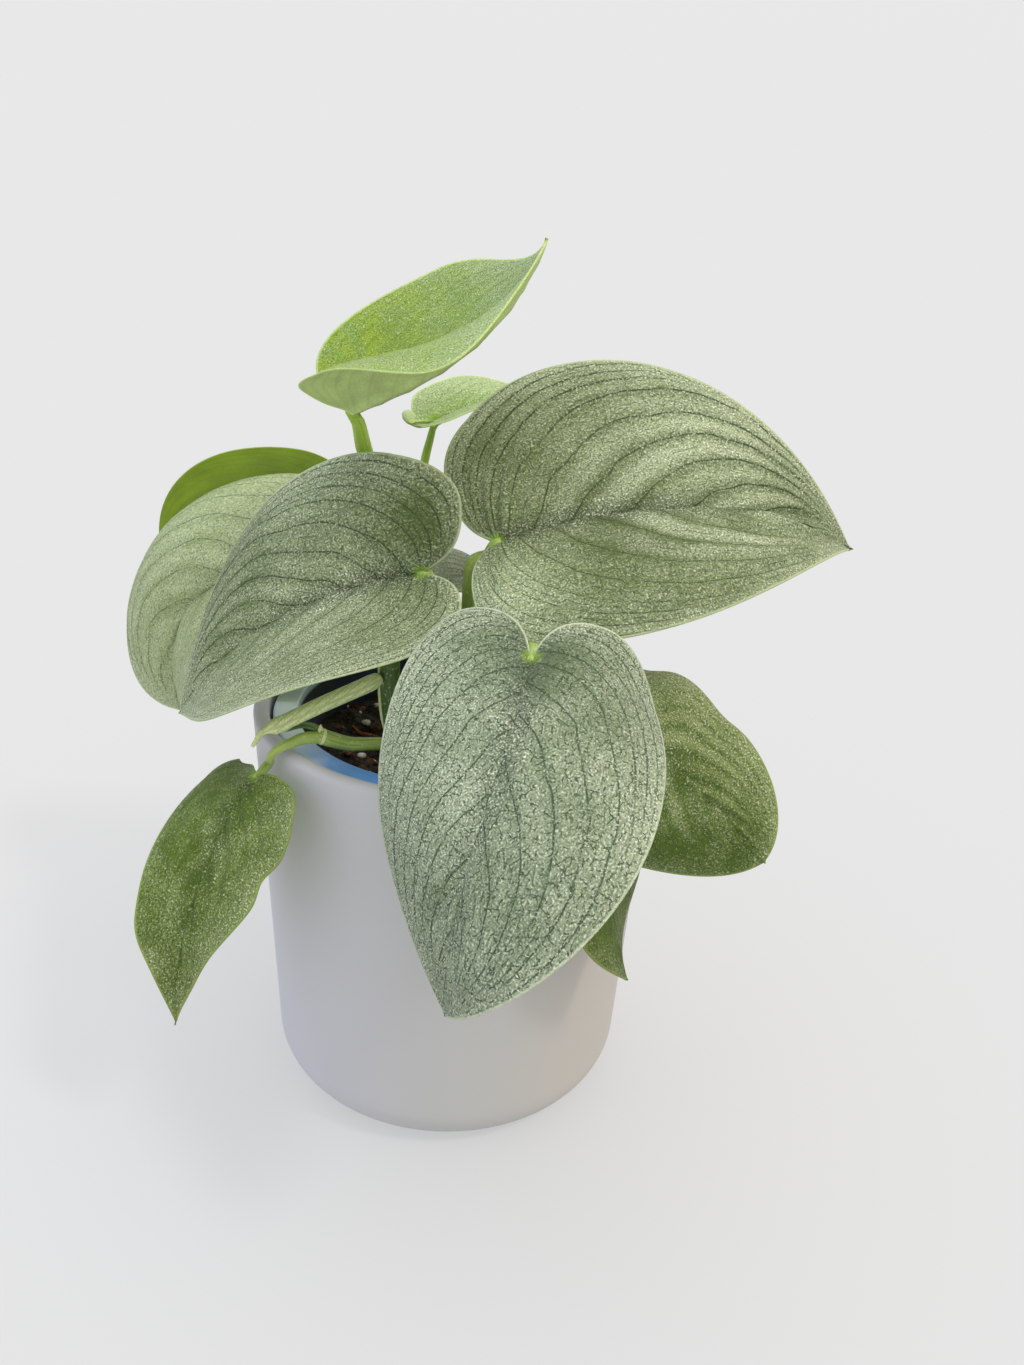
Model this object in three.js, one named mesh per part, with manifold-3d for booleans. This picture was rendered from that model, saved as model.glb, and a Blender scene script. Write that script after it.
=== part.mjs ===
// Satin pothos in a blue nursery pot, standing in a plain white outer pot.
// Lengths are millimetres and angles degrees. +Z is up, the plant's front faces -Y,
// and the origin is the centre of the outer pot's flat underside.
import * as THREE from 'three';
import { mergeVertices } from 'three/addons/utils/BufferGeometryUtils.js';
import Module from 'manifold-3d';

// White outer pot
const OUTER_TOP_RADIUS = 70;
const OUTER_BASE_RADIUS = 63;
const OUTER_HEIGHT = 146;
const OUTER_WALL = 5.4;
const OUTER_FLOOR = 6;
const OUTER_BASE_ROUNDING = 18;
const OUTER_RIM_ROUNDING = 2.6;
const OUTER_SIDES = 48;

// Blue nursery pot, standing on the outer pot's floor a little off centre
const NURSERY_OFFSET = [0.3, -0.2];
const NURSERY_TOP = 143;
const NURSERY_LIP_RADIUS = 63.6;
const NURSERY_LIP_DEPTH = 11;
const NURSERY_NECK_RADIUS = 56.5;
const NURSERY_BASE_RADIUS = 46;
const NURSERY_WALL = 1.4;
const NURSERY_FOOT = 2;
const NURSERY_EDGE = 0.7;
const NURSERY_DRAIN_RADIUS = 4;
const NURSERY_DRAIN_CIRCLE = 30;
const NURSERY_DRAINS = 6;
const NURSERY_SIDES = 40;

// Potting mix
const SOIL_TOP = 129;
const SOIL_RELIEF = 1.6;
const SOIL_EDGE_DROP = 3.5;
const SOIL_RINGS = 9;

// Fit between pieces that rest on or in each other
const GAP = 0.3;

// Leaf blades
const BLADE_HALF_THICKNESS = 0.4;
const BLADE_ROWS = [3, 5, 9];
const BLADE_COLUMNS = 4;
const BLADE_FORE = 0.8;
const MIDRIB_STEPS = [60, 12];

// Each blade starts at the notch where its petiole joins. heading, pitch and roll turn it there;
// bend, sway and twist add up toward the tip. fold lifts the two halves from the midrib, arch
// rolls them back down, and drop lowers the lobes. tuck opens the notch between the lobes.
// widest, full and lean shape the outline: where it is widest, how full the tip is, and how much
// wider the left half is than the right. fold changes to foldTip along the blade, later where hold
// is over 1, and fore makes the tip blunter. ripple is [height, waves, phase] along a margin, and
// dents are [side, place, depth, spread]: dips in the outline, or swellings where depth is negative.
// seat is how far below the notch the petiole ends, and arrive is where its last bend lies,
// measured below and behind the blade.
const BLADES = {
  blade_front: {
    at: [20, -77.5, 196.5], heading: -98, pitch: -19, roll: 3, length: 108.5, width: 84.5, lobe: 18,
    bend: 78, sway: -35, twist: 20, fold: [-3, 10], foldTip: 9, arch: [50, 34], drop: -6,
    widest: 0.31, full: 0.4, lean: 0.06, tuck: 0.12, seat: 1.7,
  },
  blade_right: {
    at: [10.6, -16.6, 209.2], heading: -1, pitch: 20, roll: 33, length: 127.3, width: 108.6, lobe: 10.6,
    bend: 52, sway: 23, twist: 3, fold: [11, 16], foldTip: 20, arch: [5, 19], drop: 4,
    widest: 0.23, full: 0.21, lean: 0.06, tuck: 0.06,
  },
  blade_left: {
    at: [-12.5, -26.5, 201.5], heading: 168, pitch: -16, roll: -55, length: 103.5, width: 91.5, lobe: 15.5,
    bend: 45, sway: 5, twist: 33, fold: [25, 40], foldTip: 6, arch: [-20, 38], drop: 6,
    widest: 0.45, full: 0.36, lean: 0.02, tuck: 0.06, arrive: [6, -1],
  },
  blade_left_behind: {
    at: [-37.5, 33, 174.5], heading: 172, pitch: 15, roll: -55, length: 118, width: 98, lobe: 19,
    bend: 130, sway: -17, twist: -17, fold: [20, 17], foldTip: 31, arch: [10, 89], drop: 10,
    widest: 0.37, full: 0.55, lean: -0.05, tuck: 0.08,
  },
  blade_back_green: {
    at: [-60.2, 95.5, 180.6], heading: 180, pitch: 0, roll: 62, length: 71.9, width: 74.4, lobe: 12.1,
    bend: 60, sway: -8, twist: -2, fold: [11, 10], foldTip: 7, arch: [21, 15], drop: 3,
    widest: 0.27, full: 0.14, lean: -0.01, tuck: 0.08,
  },
  blade_lower_right: {
    at: [42.9, -57.3, 174], heading: 8, pitch: -39, roll: 41, length: 82.5, width: 69, lobe: 8.7,
    bend: 14, sway: -6, twist: 34, fold: [0, -5], foldTip: -5, arch: [34, 27], drop: 15,
    widest: 0.23, full: 0.3, fore: 0.98, lean: -0.1, tuck: 0.08, seat: 2,
    ripple: [[2, 1.6, 0.05], [0, 0, 0]],
    dents: [[1, 0.42, 0.2, 0.06], [1, 0.53, -0.12, 0.06], [1, 0.62, 0.07, 0.04]],
  },
  blade_low_front: {
    at: [45.8, -58.2, 137.5], heading: -44, pitch: -80, roll: 1, length: 61.5, width: 37, lobe: 5,
    bend: -8, sway: 23, twist: -15, fold: [21, 7], foldTip: -15, arch: [-20, 21], drop: 15,
    widest: 0.46, full: 0.33, lean: -0.06, tuck: 0.08, arrive: [-0.5, 5], seat: 1.8,
  },
  blade_hanging_left: {
    at: [-63, -46, 139.5], heading: -138, pitch: -49, roll: 2, length: 88, width: 56.5, lobe: 3,
    bend: 39, sway: 12, twist: -37, fold: [-1, -16], foldTip: 25, arch: [-1, 17], drop: 24,
    widest: 0.13, full: 0.08, lean: -0.02, tuck: 0.13, arrive: [1, 4], seat: 1.6,
    ripple: [[1.2, 3, 0.1], [1.5, 2.5, 0.3]],
    dents: [[1, 0.565, 0.12, 0.035], [1, 0.8, 0.15, 0.1], [-1, 0.5, -0.07, 0.1], [-1, 0.77, -0.12, 0.05]],
  },
  blade_top_young: {
    at: [-36.5, 2.5, 244.5], heading: -2, pitch: 22, roll: 32, length: 85.5, width: 87, lobe: 8,
    bend: -48, sway: -31, twist: -6, fold: [7, 91], foldTip: 3, arch: [-14, 66], drop: 5, hold: 1.7,
    widest: 0.47, full: 0.21, lean: -0.04, tuck: 0.08, seat: 0.9,
  },
  blade_small_young: {
    at: [-10.6, 33.2, 235.3], heading: 33, pitch: 18, roll: -1, length: 49.1, width: 32.4, lobe: 9.1,
    bend: 36, sway: 5, twist: 2, fold: [35, 18], foldTip: 24, arch: [15, 6], drop: -10,
    widest: 0.36, full: 0.11, lean: 0.01, tuck: 0.1,
    dents: [[1, 0.22, 0.75, 0.07]],
  },
  blade_centre_small: {
    at: [10.5, 37, 179], heading: 244, pitch: 20, roll: -20, length: 52, width: 40, lobe: 8,
    bend: 22, sway: 7, twist: 0, fold: [15, 11], foldTip: 10, arch: [15, 21], drop: 20,
    widest: 0.34, full: 0.12, lean: 0, tuck: 0.1,
  },
};

// Stems: each runs up from its hole in the potting mix, and its petioles branch from it.
// A petiole with a blade ends under that blade's notch; its via points lead there.
const STEM_DEPTH = 38;
const STEM_CLEARANCE = 0.4;
const STEM_SIDES = 8;
const PETIOLE_SIDES = 7;
const HOLE_SIDES = 14;
const PETIOLE_BACK = 1.1;
const STEMS = {
  stem_back: {
    radius: [3, 2.6], path: [[-10, 20, 118], [-10, 20, 130], [-10, 21, 150]],
    petioles: [
      {
        blade: 'blade_top_young',
        radius: [2.3, 1.5],
        via: [[-10, 20, 140], [-13, 14, 175], [-25, 6, 220]],
      },
      {
        blade: 'blade_small_young',
        radius: [1.9, 1.2],
        via: [[-10, 21, 142], [-18, 28, 182], [-13, 32, 221]],
      },
      {
        blade: 'blade_left_behind',
        radius: [2.3, 1.6],
        via: [[-10, 20, 138], [-15, 26, 150], [-26, 36, 162]],
      },
      {
        blade: 'blade_back_green',
        radius: [2.3, 1.5],
        via: [[-10, 22, 138], [-18, 42, 159], [-41, 77, 178]],
      },
      {
        blade: 'blade_centre_small',
        radius: [1.7, 1.2],
        via: [[-10, 20, 138], [-4, 30, 150], [7, 38, 164]],
      },
    ],
  },
  stem_front: {
    radius: [3.2, 2.8], path: [[6, -10, 118], [6, -10, 130], [6, -11, 148]],
    petioles: [
      {
        blade: 'blade_right',
        radius: [2.4, 2.2],
        via: [[6, -10, 140], [3, -11, 165], [2.4, -12, 185], [2.7, -12, 194.5], [3.8, -12.8, 201]],
      },
      {
        blade: 'blade_left',
        radius: [2.4, 1.8],
        via: [[6, -11, 138], [0, -15, 165], [-3.5, -18, 188], [-6, -18, 194]],
      },
      {
        blade: 'blade_front',
        radius: [2.5, 1.9],
        via: [[7, -12, 138], [12, -28, 163], [18, -58, 188]],
      },
    ],
  },
  stem_right: {
    radius: [2.8, 2.5], path: [[28, -16, 118], [28, -16, 130], [28, -17, 146]],
    petioles: [
      {
        blade: 'blade_lower_right',
        radius: [2.2, 1.7],
        via: [[28, -16, 138], [31, -28, 158], [37.5, -49, 172]],
      },
      {
        blade: 'blade_low_front',
        radius: [2, 1.4],
        via: [[28, -17, 136], [31, -33, 153], [38, -46, 158], [44, -55.5, 153]],
      },
    ],
  },
  stem_left: {
    radius: [2.6, 2.6, 2.1, 2.1, 2.6],
    path: [
      [-6, -32, 118], [-6, -32, 128], [-8, -34.5, 140], [-15, -39, 146.3], [-23, -41, 148.8],
      [-33.6, -42, 149], [-39.7, -43, 151], [-43.5, -43.8, 152.6],
    ],
    petioles: [
      {
        blade: 'blade_hanging_left',
        radius: [1.5, 1.1],
        via: [
          [-41.5, -43.4, 151.8], [-47.3, -45, 152.1], [-50.9, -46.3, 151.2], [-54.8, -47.3, 149.6],
          [-57.8, -47, 146.5],
        ],
      },
    ],
  },
  stem_rolled_leaf: {
    radius: [3.6, 3.6],
    path: [
      [-18, -22, 118], [-18, -22, 130], [-18, -22, 134], [-18.4, -27, 140.5], [-19.3, -32.5, 147],
      [-20.8, -33.5, 154], [-21.9, -34, 165], [-22, -34, 177],
    ],
    petioles: [],
  },
};

// The new leaf, still rolled, lying out to the left over the rim with its end against the sheath.
// radius holds [share of the path, radius] pairs.
const ROLLED_LEAF = {
  path: [
    [-24.6, -37.1, 170.2], [-26.9, -39.5, 169.6], [-35.1, -41.5, 166.1], [-43.9, -43.5, 162.3],
    [-55, -47, 157.6], [-58.5, -48.3, 156.3], [-60.5, -49.3, 155.4], [-61.5, -50.3, 153.6],
    [-62.8, -51.3, 151.8],
  ],
  radius: [[0, 1.2], [0.03, 2], [0.08, 2.3], [0.8, 2.2], [0.85, 1.1], [1, 0.5]],
};

const rad = THREE.MathUtils.degToRad;
const lerp = THREE.MathUtils.lerp;

// One point of a cubic curve through four control points
function cubic(a, b, c, d, t) {
  const s = 1 - t;
  const mix = (k) => s * s * s * a[k] + 3 * s * s * t * b[k] + 3 * s * t * t * c[k] + t * t * t * d[k];
  return [mix(0), mix(1)];
}

function geometryOf(positions, triangles) {
  const geometry = new THREE.BufferGeometry();
  geometry.setAttribute('position', new THREE.Float32BufferAttribute(positions, 3));
  geometry.setIndex(triangles);
  return geometry;
}

// Flat outline of one half of a blade, from the notch round the lobe to the tip
function halfOutline(leaf, side) {
  const rows = BLADE_ROWS[0] + BLADE_ROWS[1] + BLADE_ROWS[2];
  const half = (leaf.width / 2) * (1 + side * leaf.lean);
  const lobe = leaf.lobe;
  const wide = leaf.widest * leaf.length;
  const curves = [
    [[0, 0], [-0.5 * lobe, leaf.tuck * half], [-lobe, (leaf.tuck + 0.08) * half], [-lobe, 0.45 * half]],
    [[-lobe, 0.45 * half], [-lobe, 0.8 * half], [wide - 0.55 * (wide + lobe), half], [wide, half]],
    [[wide, half], [wide + 0.42 * (leaf.length - wide), half],
      [(leaf.fore || BLADE_FORE) * leaf.length, 2 * leaf.full * half], [leaf.length, 0]],
  ];
  const points = [];
  curves.forEach((curve, k) => {
    for (let i = 0; i < BLADE_ROWS[k]; i += 1) {
      points.push(cubic(...curve, i / BLADE_ROWS[k]));
    }
  });
  points.push([leaf.length, 0]);
  for (const [dentSide, place, depth, spread] of leaf.dents || []) {
    if (dentSide === side) {
      points.forEach((point, i) => {
        point[1] *= 1 - depth * Math.exp(-(((i / rows - place) / spread) ** 2));
      });
    }
  }
  return points;
}

// Axes of the blade at distance x from the notch: along the midrib, to its left, and up
function bladeAxes(leaf, x) {
  const ahead = Math.max(x / leaf.length, 0);
  const behind = Math.max(-x / leaf.lobe, 0);
  const heading = rad(leaf.heading + leaf.sway * ahead);
  const pitch = rad(leaf.pitch - leaf.bend * ahead ** 1.3 + leaf.drop * behind);
  const roll = rad(leaf.roll + leaf.twist * ahead);
  const along = new THREE.Vector3(
    Math.cos(pitch) * Math.cos(heading), Math.cos(pitch) * Math.sin(heading), Math.sin(pitch));
  const level = new THREE.Vector3(-Math.sin(heading), Math.cos(heading), 0);
  const lift = new THREE.Vector3().crossVectors(along, level);
  const left = level.multiplyScalar(Math.cos(roll)).addScaledVector(lift, Math.sin(roll));
  const up = new THREE.Vector3().crossVectors(along, left);
  return { along, left, up };
}

// The midrib as a run of points, from the back of the lobes to the tip
function midrib(leaf) {
  const back = 1.05 * leaf.lobe;
  const walk = (end, count) => {
    const points = [new THREE.Vector3(...leaf.at)];
    for (let i = 0; i < count; i += 1) {
      const x = (end * (i + 0.5)) / count;
      points.push(points[i].clone().addScaledVector(bladeAxes(leaf, x).along, end / count));
    }
    return points;
  };
  const ahead = walk(leaf.length, MIDRIB_STEPS[0]);
  const behind = walk(-back, MIDRIB_STEPS[1]);
  return (x) => {
    const run = x < 0 ? behind : ahead;
    const f = x < 0 ? (MIDRIB_STEPS[1] * -x) / back : (MIDRIB_STEPS[0] * x) / leaf.length;
    const i = Math.min(Math.floor(f), run.length - 2);
    return run[i].clone().lerp(run[i + 1], f - i);
  };
}

// A point of the blade's middle surface: x along the midrib, y across it
function bladePoint(leaf, spine, x, y, side) {
  const { left, up } = bladeAxes(leaf, x);
  const k = side > 0 ? 0 : 1;
  const u = Math.min(Math.max(x / leaf.length, 0), 1);
  const fold = rad(lerp(leaf.fold[k], leaf.foldTip, u ** (leaf.hold || 1)));
  const curl = rad(leaf.arch[k]) / (leaf.width / 2);
  const across = (Math.sin(fold) - Math.sin(fold - curl * y)) / curl;
  const rise = (Math.cos(fold - curl * y) - Math.cos(fold)) / curl;
  return spine(x).addScaledVector(left, across * side).addScaledVector(up, rise);
}

// A closed blade: upper and lower faces a constant distance either side of the middle surface
function blade(leaf) {
  const spine = midrib(leaf);
  const rows = BLADE_ROWS[0] + BLADE_ROWS[1] + BLADE_ROWS[2];
  const positions = [];
  const triangles = [];
  const shared = new Map();
  const put = (point) => {
    positions.push(...point);
    return positions.length / 3 - 1;
  };
  const ripple = leaf.ripple || [[0, 0, 0], [0, 0, 0]];

  // Upper and lower vertex numbers at row i, column j of one half
  const vertex = (side, i, j, outline) => {
    const single = i === 0 || i === rows;
    const half = single || j === 0 ? 'midrib' : side;
    const key = `${half} ${i} ${single ? 0 : j}`;
    if (shared.has(key)) return shared.get(key);
    const q = i / rows;
    const rib = leaf.length * q ** 1.5;
    const t = j / BLADE_COLUMNS;
    const x = single ? rib : lerp(rib, outline[i][0], t);
    const y = single ? 0 : outline[i][1] * t;
    const [height, waves, phase] = ripple[side > 0 ? 0 : 1];
    const wave = height * t ** 3 * Math.sin(2 * Math.PI * (waves * q + phase)) * Math.sin(Math.PI * q);
    const middle = bladePoint(leaf, spine, x, y, side);
    let normal = bladeAxes(leaf, x).up;
    if (!single && j > 0) {
      const e = 0.5;
      const at = (a, b) => bladePoint(leaf, spine, a, b, side);
      const dx = at(x + e, y).sub(at(x - e, y));
      const dy = at(x, y + e).sub(at(x, Math.max(y - e, 0)));
      normal = dx.cross(dy).multiplyScalar(side).normalize();
    }
    middle.addScaledVector(normal, wave);
    const pair = [
      put(middle.clone().addScaledVector(normal, BLADE_HALF_THICKNESS)),
      put(middle.clone().addScaledVector(normal, -BLADE_HALF_THICKNESS)),
    ];
    shared.set(key, pair);
    return pair;
  };
  const face = (side, a, b, c) => {
    if (a === b || b === c || c === a) return;
    triangles.push(...(side > 0 ? [a, b, c] : [a, c, b]));
  };
  for (const side of [1, -1]) {
    const outline = halfOutline(leaf, side);
    for (let i = 0; i < rows; i += 1) {
      for (let j = 0; j < BLADE_COLUMNS; j += 1) {
        const [a, b, c, d] = [[i, j], [i + 1, j], [i + 1, j + 1], [i, j + 1]]
          .map(([m, n]) => vertex(side, m, n, outline));
        face(side, a[0], b[0], c[0]);
        face(side, a[0], c[0], d[0]);
        face(-side, a[1], b[1], c[1]);
        face(-side, a[1], c[1], d[1]);
      }
      const a = vertex(side, i, BLADE_COLUMNS, outline);
      const b = vertex(side, i + 1, BLADE_COLUMNS, outline);
      face(side, a[0], b[0], b[1]);
      face(side, a[0], b[1], a[1]);
    }
  }
  return geometryOf(positions, triangles);
}

// Radii spread evenly along a path, as [share, radius] pairs
const spaced = (radii) => radii.map((radius, k) => [k / (radii.length - 1), radius]);

// The radius at a share of the path, from [share, radius] pairs
function radiusAt(pairs, share) {
  const k = Math.max(pairs.findIndex(([end]) => end >= share - 1e-9), 1);
  const [[start, from], [end, to]] = [pairs[k - 1], pairs[k]];
  return lerp(from, to, (share - start) / (end - start));
}

// A closed round tube along a smooth path, its radius given as [share, radius] pairs
function tube(path, radii, rings, sides) {
  const curve = new THREE.CatmullRomCurve3(path.map((p) => new THREE.Vector3(...p)), false, 'centripetal');
  const positions = [];
  const triangles = [];
  let across = new THREE.Vector3(0.31, 0.95, 0.05);
  for (let i = 0; i <= rings; i += 1) {
    const centre = curve.getPointAt(i / rings);
    const ahead = curve.getTangentAt(i / rings);
    across = across.clone().addScaledVector(ahead, -across.dot(ahead)).normalize();
    const other = new THREE.Vector3().crossVectors(ahead, across);
    const radius = radiusAt(radii, i / rings);
    for (let j = 0; j < sides; j += 1) {
      const a = (2 * Math.PI * j) / sides;
      const point = centre.clone()
        .addScaledVector(across, radius * Math.cos(a))
        .addScaledVector(other, radius * Math.sin(a));
      positions.push(...point);
    }
  }
  for (let i = 0; i < rings; i += 1) {
    for (let j = 0; j < sides; j += 1) {
      const a = i * sides + j;
      const b = i * sides + ((j + 1) % sides);
      triangles.push(a, b, b + sides, a, b + sides, a + sides);
    }
  }
  for (let j = 1; j < sides - 1; j += 1) {
    const last = rings * sides;
    triangles.push(0, j + 1, j);
    triangles.push(last, last + j, last + j + 1);
  }
  return geometryOf(positions, triangles);
}

// A solid of revolution about an upright line, from a profile that starts and ends on the axis
function turned(profile, segments, centre = [0, 0]) {
  const points = profile.map(([r, z]) => new THREE.Vector2(r, z));
  return new THREE.LatheGeometry(points, segments).rotateX(Math.PI / 2).translate(centre[0], centre[1], 0);
}

// An upright round rod
function upright(radius, height, sides) {
  return new THREE.CylinderGeometry(radius, radius, height, sides).rotateX(Math.PI / 2);
}

// Points of a circular arc in a profile
function arc(cx, cz, r, from, to, steps) {
  const points = [];
  for (let i = 0; i <= steps; i += 1) {
    const a = rad(lerp(from, to, i / steps));
    points.push([cx + r * Math.cos(a), cz + r * Math.sin(a)]);
  }
  return points;
}

const outerRadius = (z) => lerp(OUTER_BASE_RADIUS, OUTER_TOP_RADIUS, z / OUTER_HEIGHT);

function outerPotProfile() {
  const round = OUTER_BASE_ROUNDING;
  const rim = OUTER_RIM_ROUNDING;
  const inner = round - OUTER_WALL;
  const rimZ = OUTER_HEIGHT - rim;
  return [
    [0, 0],
    ...arc(outerRadius(round) - round, round, round, -90, 0, 5),
    ...arc(outerRadius(rimZ) - rim, rimZ, rim, 0, 90, 3),
    ...arc(outerRadius(rimZ) - OUTER_WALL + rim, rimZ, rim, 90, 180, 3),
    ...arc(outerRadius(round) - OUTER_WALL - inner, OUTER_FLOOR + inner, inner, 0, -90, 3),
    [0, OUTER_FLOOR],
  ];
}

// Outside radius of the nursery pot's wall at a height
function nurseryWall(z) {
  const low = OUTER_FLOOR + GAP + NURSERY_FOOT;
  return lerp(NURSERY_BASE_RADIUS, NURSERY_NECK_RADIUS, (z - low) / (NURSERY_TOP - NURSERY_WALL - low));
}

// The lip is folded down outside the wall, with an open channel under it
function nurseryPotProfile() {
  const w = NURSERY_WALL;
  const low = OUTER_FLOOR + GAP;
  const foot = low + NURSERY_FOOT;
  const inside = NURSERY_TOP - NURSERY_EDGE;
  const lip = NURSERY_LIP_RADIUS;
  return [
    [0, low],
    [NURSERY_BASE_RADIUS - NURSERY_FOOT, low],
    [nurseryWall(foot), foot],
    [nurseryWall(NURSERY_TOP - w), NURSERY_TOP - w],
    [lip - w, NURSERY_TOP - w],
    [lip - w - NURSERY_EDGE, NURSERY_TOP - NURSERY_LIP_DEPTH],
    [lip - NURSERY_EDGE, NURSERY_TOP - NURSERY_LIP_DEPTH],
    [lip, inside],
    [lip - NURSERY_EDGE, NURSERY_TOP],
    [nurseryWall(inside) - w + NURSERY_EDGE, NURSERY_TOP],
    [nurseryWall(inside) - w, inside],
    [nurseryWall(foot) - w, foot],
    [NURSERY_BASE_RADIUS - NURSERY_FOOT - w, low + w],
    [0, low + w],
  ];
}

// Uneven top of the potting mix
function soilHeight(x, y) {
  const bumps = Math.sin(0.23 * x + 1.1) * Math.cos(0.19 * y - 0.4) + 0.6 * Math.sin(0.41 * y + 0.33 * x);
  return SOIL_TOP + SOIL_RELIEF * bumps - 0.0006 * (x * x + y * y);
}

// The mix fills the nursery pot just clear of its wall, and its top is pushed up and down
function pottingMix() {
  const low = OUTER_FLOOR + GAP + NURSERY_WALL + GAP;
  const corner = low + NURSERY_FOOT;
  const edge = SOIL_TOP - SOIL_EDGE_DROP;
  const inside = (z) => nurseryWall(z) - NURSERY_WALL - GAP;
  const profile = [
    [0, low],
    [inside(low) - NURSERY_FOOT, low],
    [inside(corner), corner],
    [inside(edge), edge],
  ];
  for (let i = SOIL_RINGS; i >= 0; i -= 1) {
    profile.push([((inside(edge) - 1) * i) / SOIL_RINGS, SOIL_TOP]);
  }
  const geometry = turned(profile, NURSERY_SIDES, NURSERY_OFFSET);
  const place = geometry.getAttribute('position');
  for (let i = 0; i < place.count; i += 1) {
    const isTop = Math.abs(place.getZ(i) - SOIL_TOP) < 1e-3;
    if (isTop) place.setZ(i, soilHeight(place.getX(i), place.getY(i)));
  }
  return geometry;
}

// The end of a petiole just under its blade's notch, arriving up through the notch
function petioleEnd(leaf) {
  const { along, up } = bladeAxes(leaf, 0);
  const [below, behind] = leaf.arrive || [4, 3];
  const seat = leaf.seat || 1.3;
  const notch = new THREE.Vector3(...leaf.at);
  const tip = notch.addScaledVector(up, -seat).addScaledVector(along, -PETIOLE_BACK);
  const before = tip.clone().addScaledVector(up, -below).addScaledVector(along, -behind);
  return [before.toArray(), tip.toArray()];
}

function meshNode(name, geometry, color, roughness) {
  geometry.computeVertexNormals();
  const mesh = new THREE.Mesh(geometry, new THREE.MeshStandardMaterial({ color, roughness }));
  mesh.name = name;
  return mesh;
}

async function build() {
  const wasm = await Module();
  wasm.setup();
  const solidOf = (geometry) => {
    geometry.deleteAttribute('normal');
    geometry.deleteAttribute('uv');
    const merged = mergeVertices(geometry, 1e-4);
    return new wasm.Manifold(new wasm.Mesh({
      numProp: 3,
      vertProperties: merged.getAttribute('position').array,
      triVerts: new Uint32Array(merged.getIndex().array),
    }));
  };
  const meshOf = (solid) => {
    const mesh = solid.getMesh();
    return geometryOf(mesh.vertProperties, Array.from(mesh.triVerts));
  };
  const group = new THREE.Group();
  group.name = 'potted_satin_pothos';
  const add = (name, geometry, color, roughness) => group.add(meshNode(name, geometry, color, roughness));

  add('outer_pot', turned(outerPotProfile(), OUTER_SIDES), 0xe9e7ea, 0.5);

  let nursery = solidOf(turned(nurseryPotProfile(), NURSERY_SIDES, NURSERY_OFFSET));
  const drain = upright(NURSERY_DRAIN_RADIUS, 4 * NURSERY_WALL, HOLE_SIDES);
  drain.translate(0, 0, OUTER_FLOOR + NURSERY_WALL);
  for (let i = 0; i < NURSERY_DRAINS; i += 1) {
    const a = (2 * Math.PI * i) / NURSERY_DRAINS;
    const x = NURSERY_OFFSET[0] + NURSERY_DRAIN_CIRCLE * Math.cos(a);
    const y = NURSERY_OFFSET[1] + NURSERY_DRAIN_CIRCLE * Math.sin(a);
    nursery = nursery.subtract(solidOf(drain.clone().translate(x, y, 0)));
  }
  add('nursery_pot', meshOf(nursery), 0x6d9fd0, 0.45);

  let soil = solidOf(pottingMix());
  const stems = [];
  for (const [name, stem] of Object.entries(STEMS)) {
    const foot = stem.path[0];
    const path = [[foot[0], foot[1], SOIL_TOP - STEM_DEPTH + GAP], ...stem.path];
    let solid = solidOf(tube(path, spaced(stem.radius), 3 * path.length, STEM_SIDES));
    for (const petiole of stem.petioles) {
      const end = petioleEnd(BLADES[petiole.blade]);
      const run = [...petiole.via, ...end];
      solid = solid.add(solidOf(tube(run, spaced(petiole.radius), 3 * run.length, PETIOLE_SIDES)));
    }
    const hole = upright(stem.radius[0] + STEM_CLEARANCE, 2 * STEM_DEPTH, HOLE_SIDES)
      .translate(foot[0], foot[1], SOIL_TOP - GAP);
    soil = soil.subtract(solidOf(hole));
    stems.push([name, solid]);
  }
  add('potting_mix', meshOf(soil), 0x2e231c, 1);
  for (const [name, solid] of stems) add(name, meshOf(solid), 0x7fa04e, 0.5);

  for (const [name, leaf] of Object.entries(BLADES)) add(name, blade(leaf), 0x9db592, 0.5);
  add('rolled_leaf', tube(ROLLED_LEAF.path, ROLLED_LEAF.radius, 22, 10), 0xb9c98f, 0.5);
  return group;
}

export default await build();
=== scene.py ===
import random
from functools import partial
from math import atan2, cos, exp, hypot, pi, radians, sin, sqrt

import bmesh
import bpy
import numpy as np
from mathutils import Matrix, Vector, noise


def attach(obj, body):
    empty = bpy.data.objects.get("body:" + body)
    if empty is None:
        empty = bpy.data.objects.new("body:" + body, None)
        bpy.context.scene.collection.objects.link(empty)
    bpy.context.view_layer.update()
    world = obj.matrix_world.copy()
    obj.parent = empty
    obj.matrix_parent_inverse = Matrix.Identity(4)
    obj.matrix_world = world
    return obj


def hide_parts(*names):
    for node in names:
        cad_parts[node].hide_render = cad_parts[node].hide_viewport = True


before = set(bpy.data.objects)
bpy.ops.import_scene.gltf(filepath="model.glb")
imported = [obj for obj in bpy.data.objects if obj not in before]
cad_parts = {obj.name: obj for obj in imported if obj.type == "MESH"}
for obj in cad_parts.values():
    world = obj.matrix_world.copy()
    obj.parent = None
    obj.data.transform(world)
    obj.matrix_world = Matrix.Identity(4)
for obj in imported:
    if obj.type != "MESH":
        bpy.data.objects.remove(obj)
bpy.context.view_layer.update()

# Satin pothos in a blue nursery pot inside a plain white outer pot.
# Sizes are millimetres and degrees unless a comment says metres; MM turns them to metres.
MM = 0.001

# Camera: the eye stands in front and looks down on the leaves; near and far are metres
CAMERA_PLACE = (0, -408.8, 340)
CAMERA_YAW, CAMERA_PITCH, CAMERA_ROLL = 2.6, 24.56, 3.0
CAMERA_LENS, CAMERA_FILM = 34.286, 36
CAMERA_NEAR, CAMERA_FAR = 0.01, 100

# Light table under the pot: its reach each way in metres, its colour and its own glow
TABLE_REACH, TABLE_COLOUR = 30, "#838383"
TABLE_GLOW, TABLE_GLOW_COLOUR = 0.46, "#fdfeff"

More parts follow.
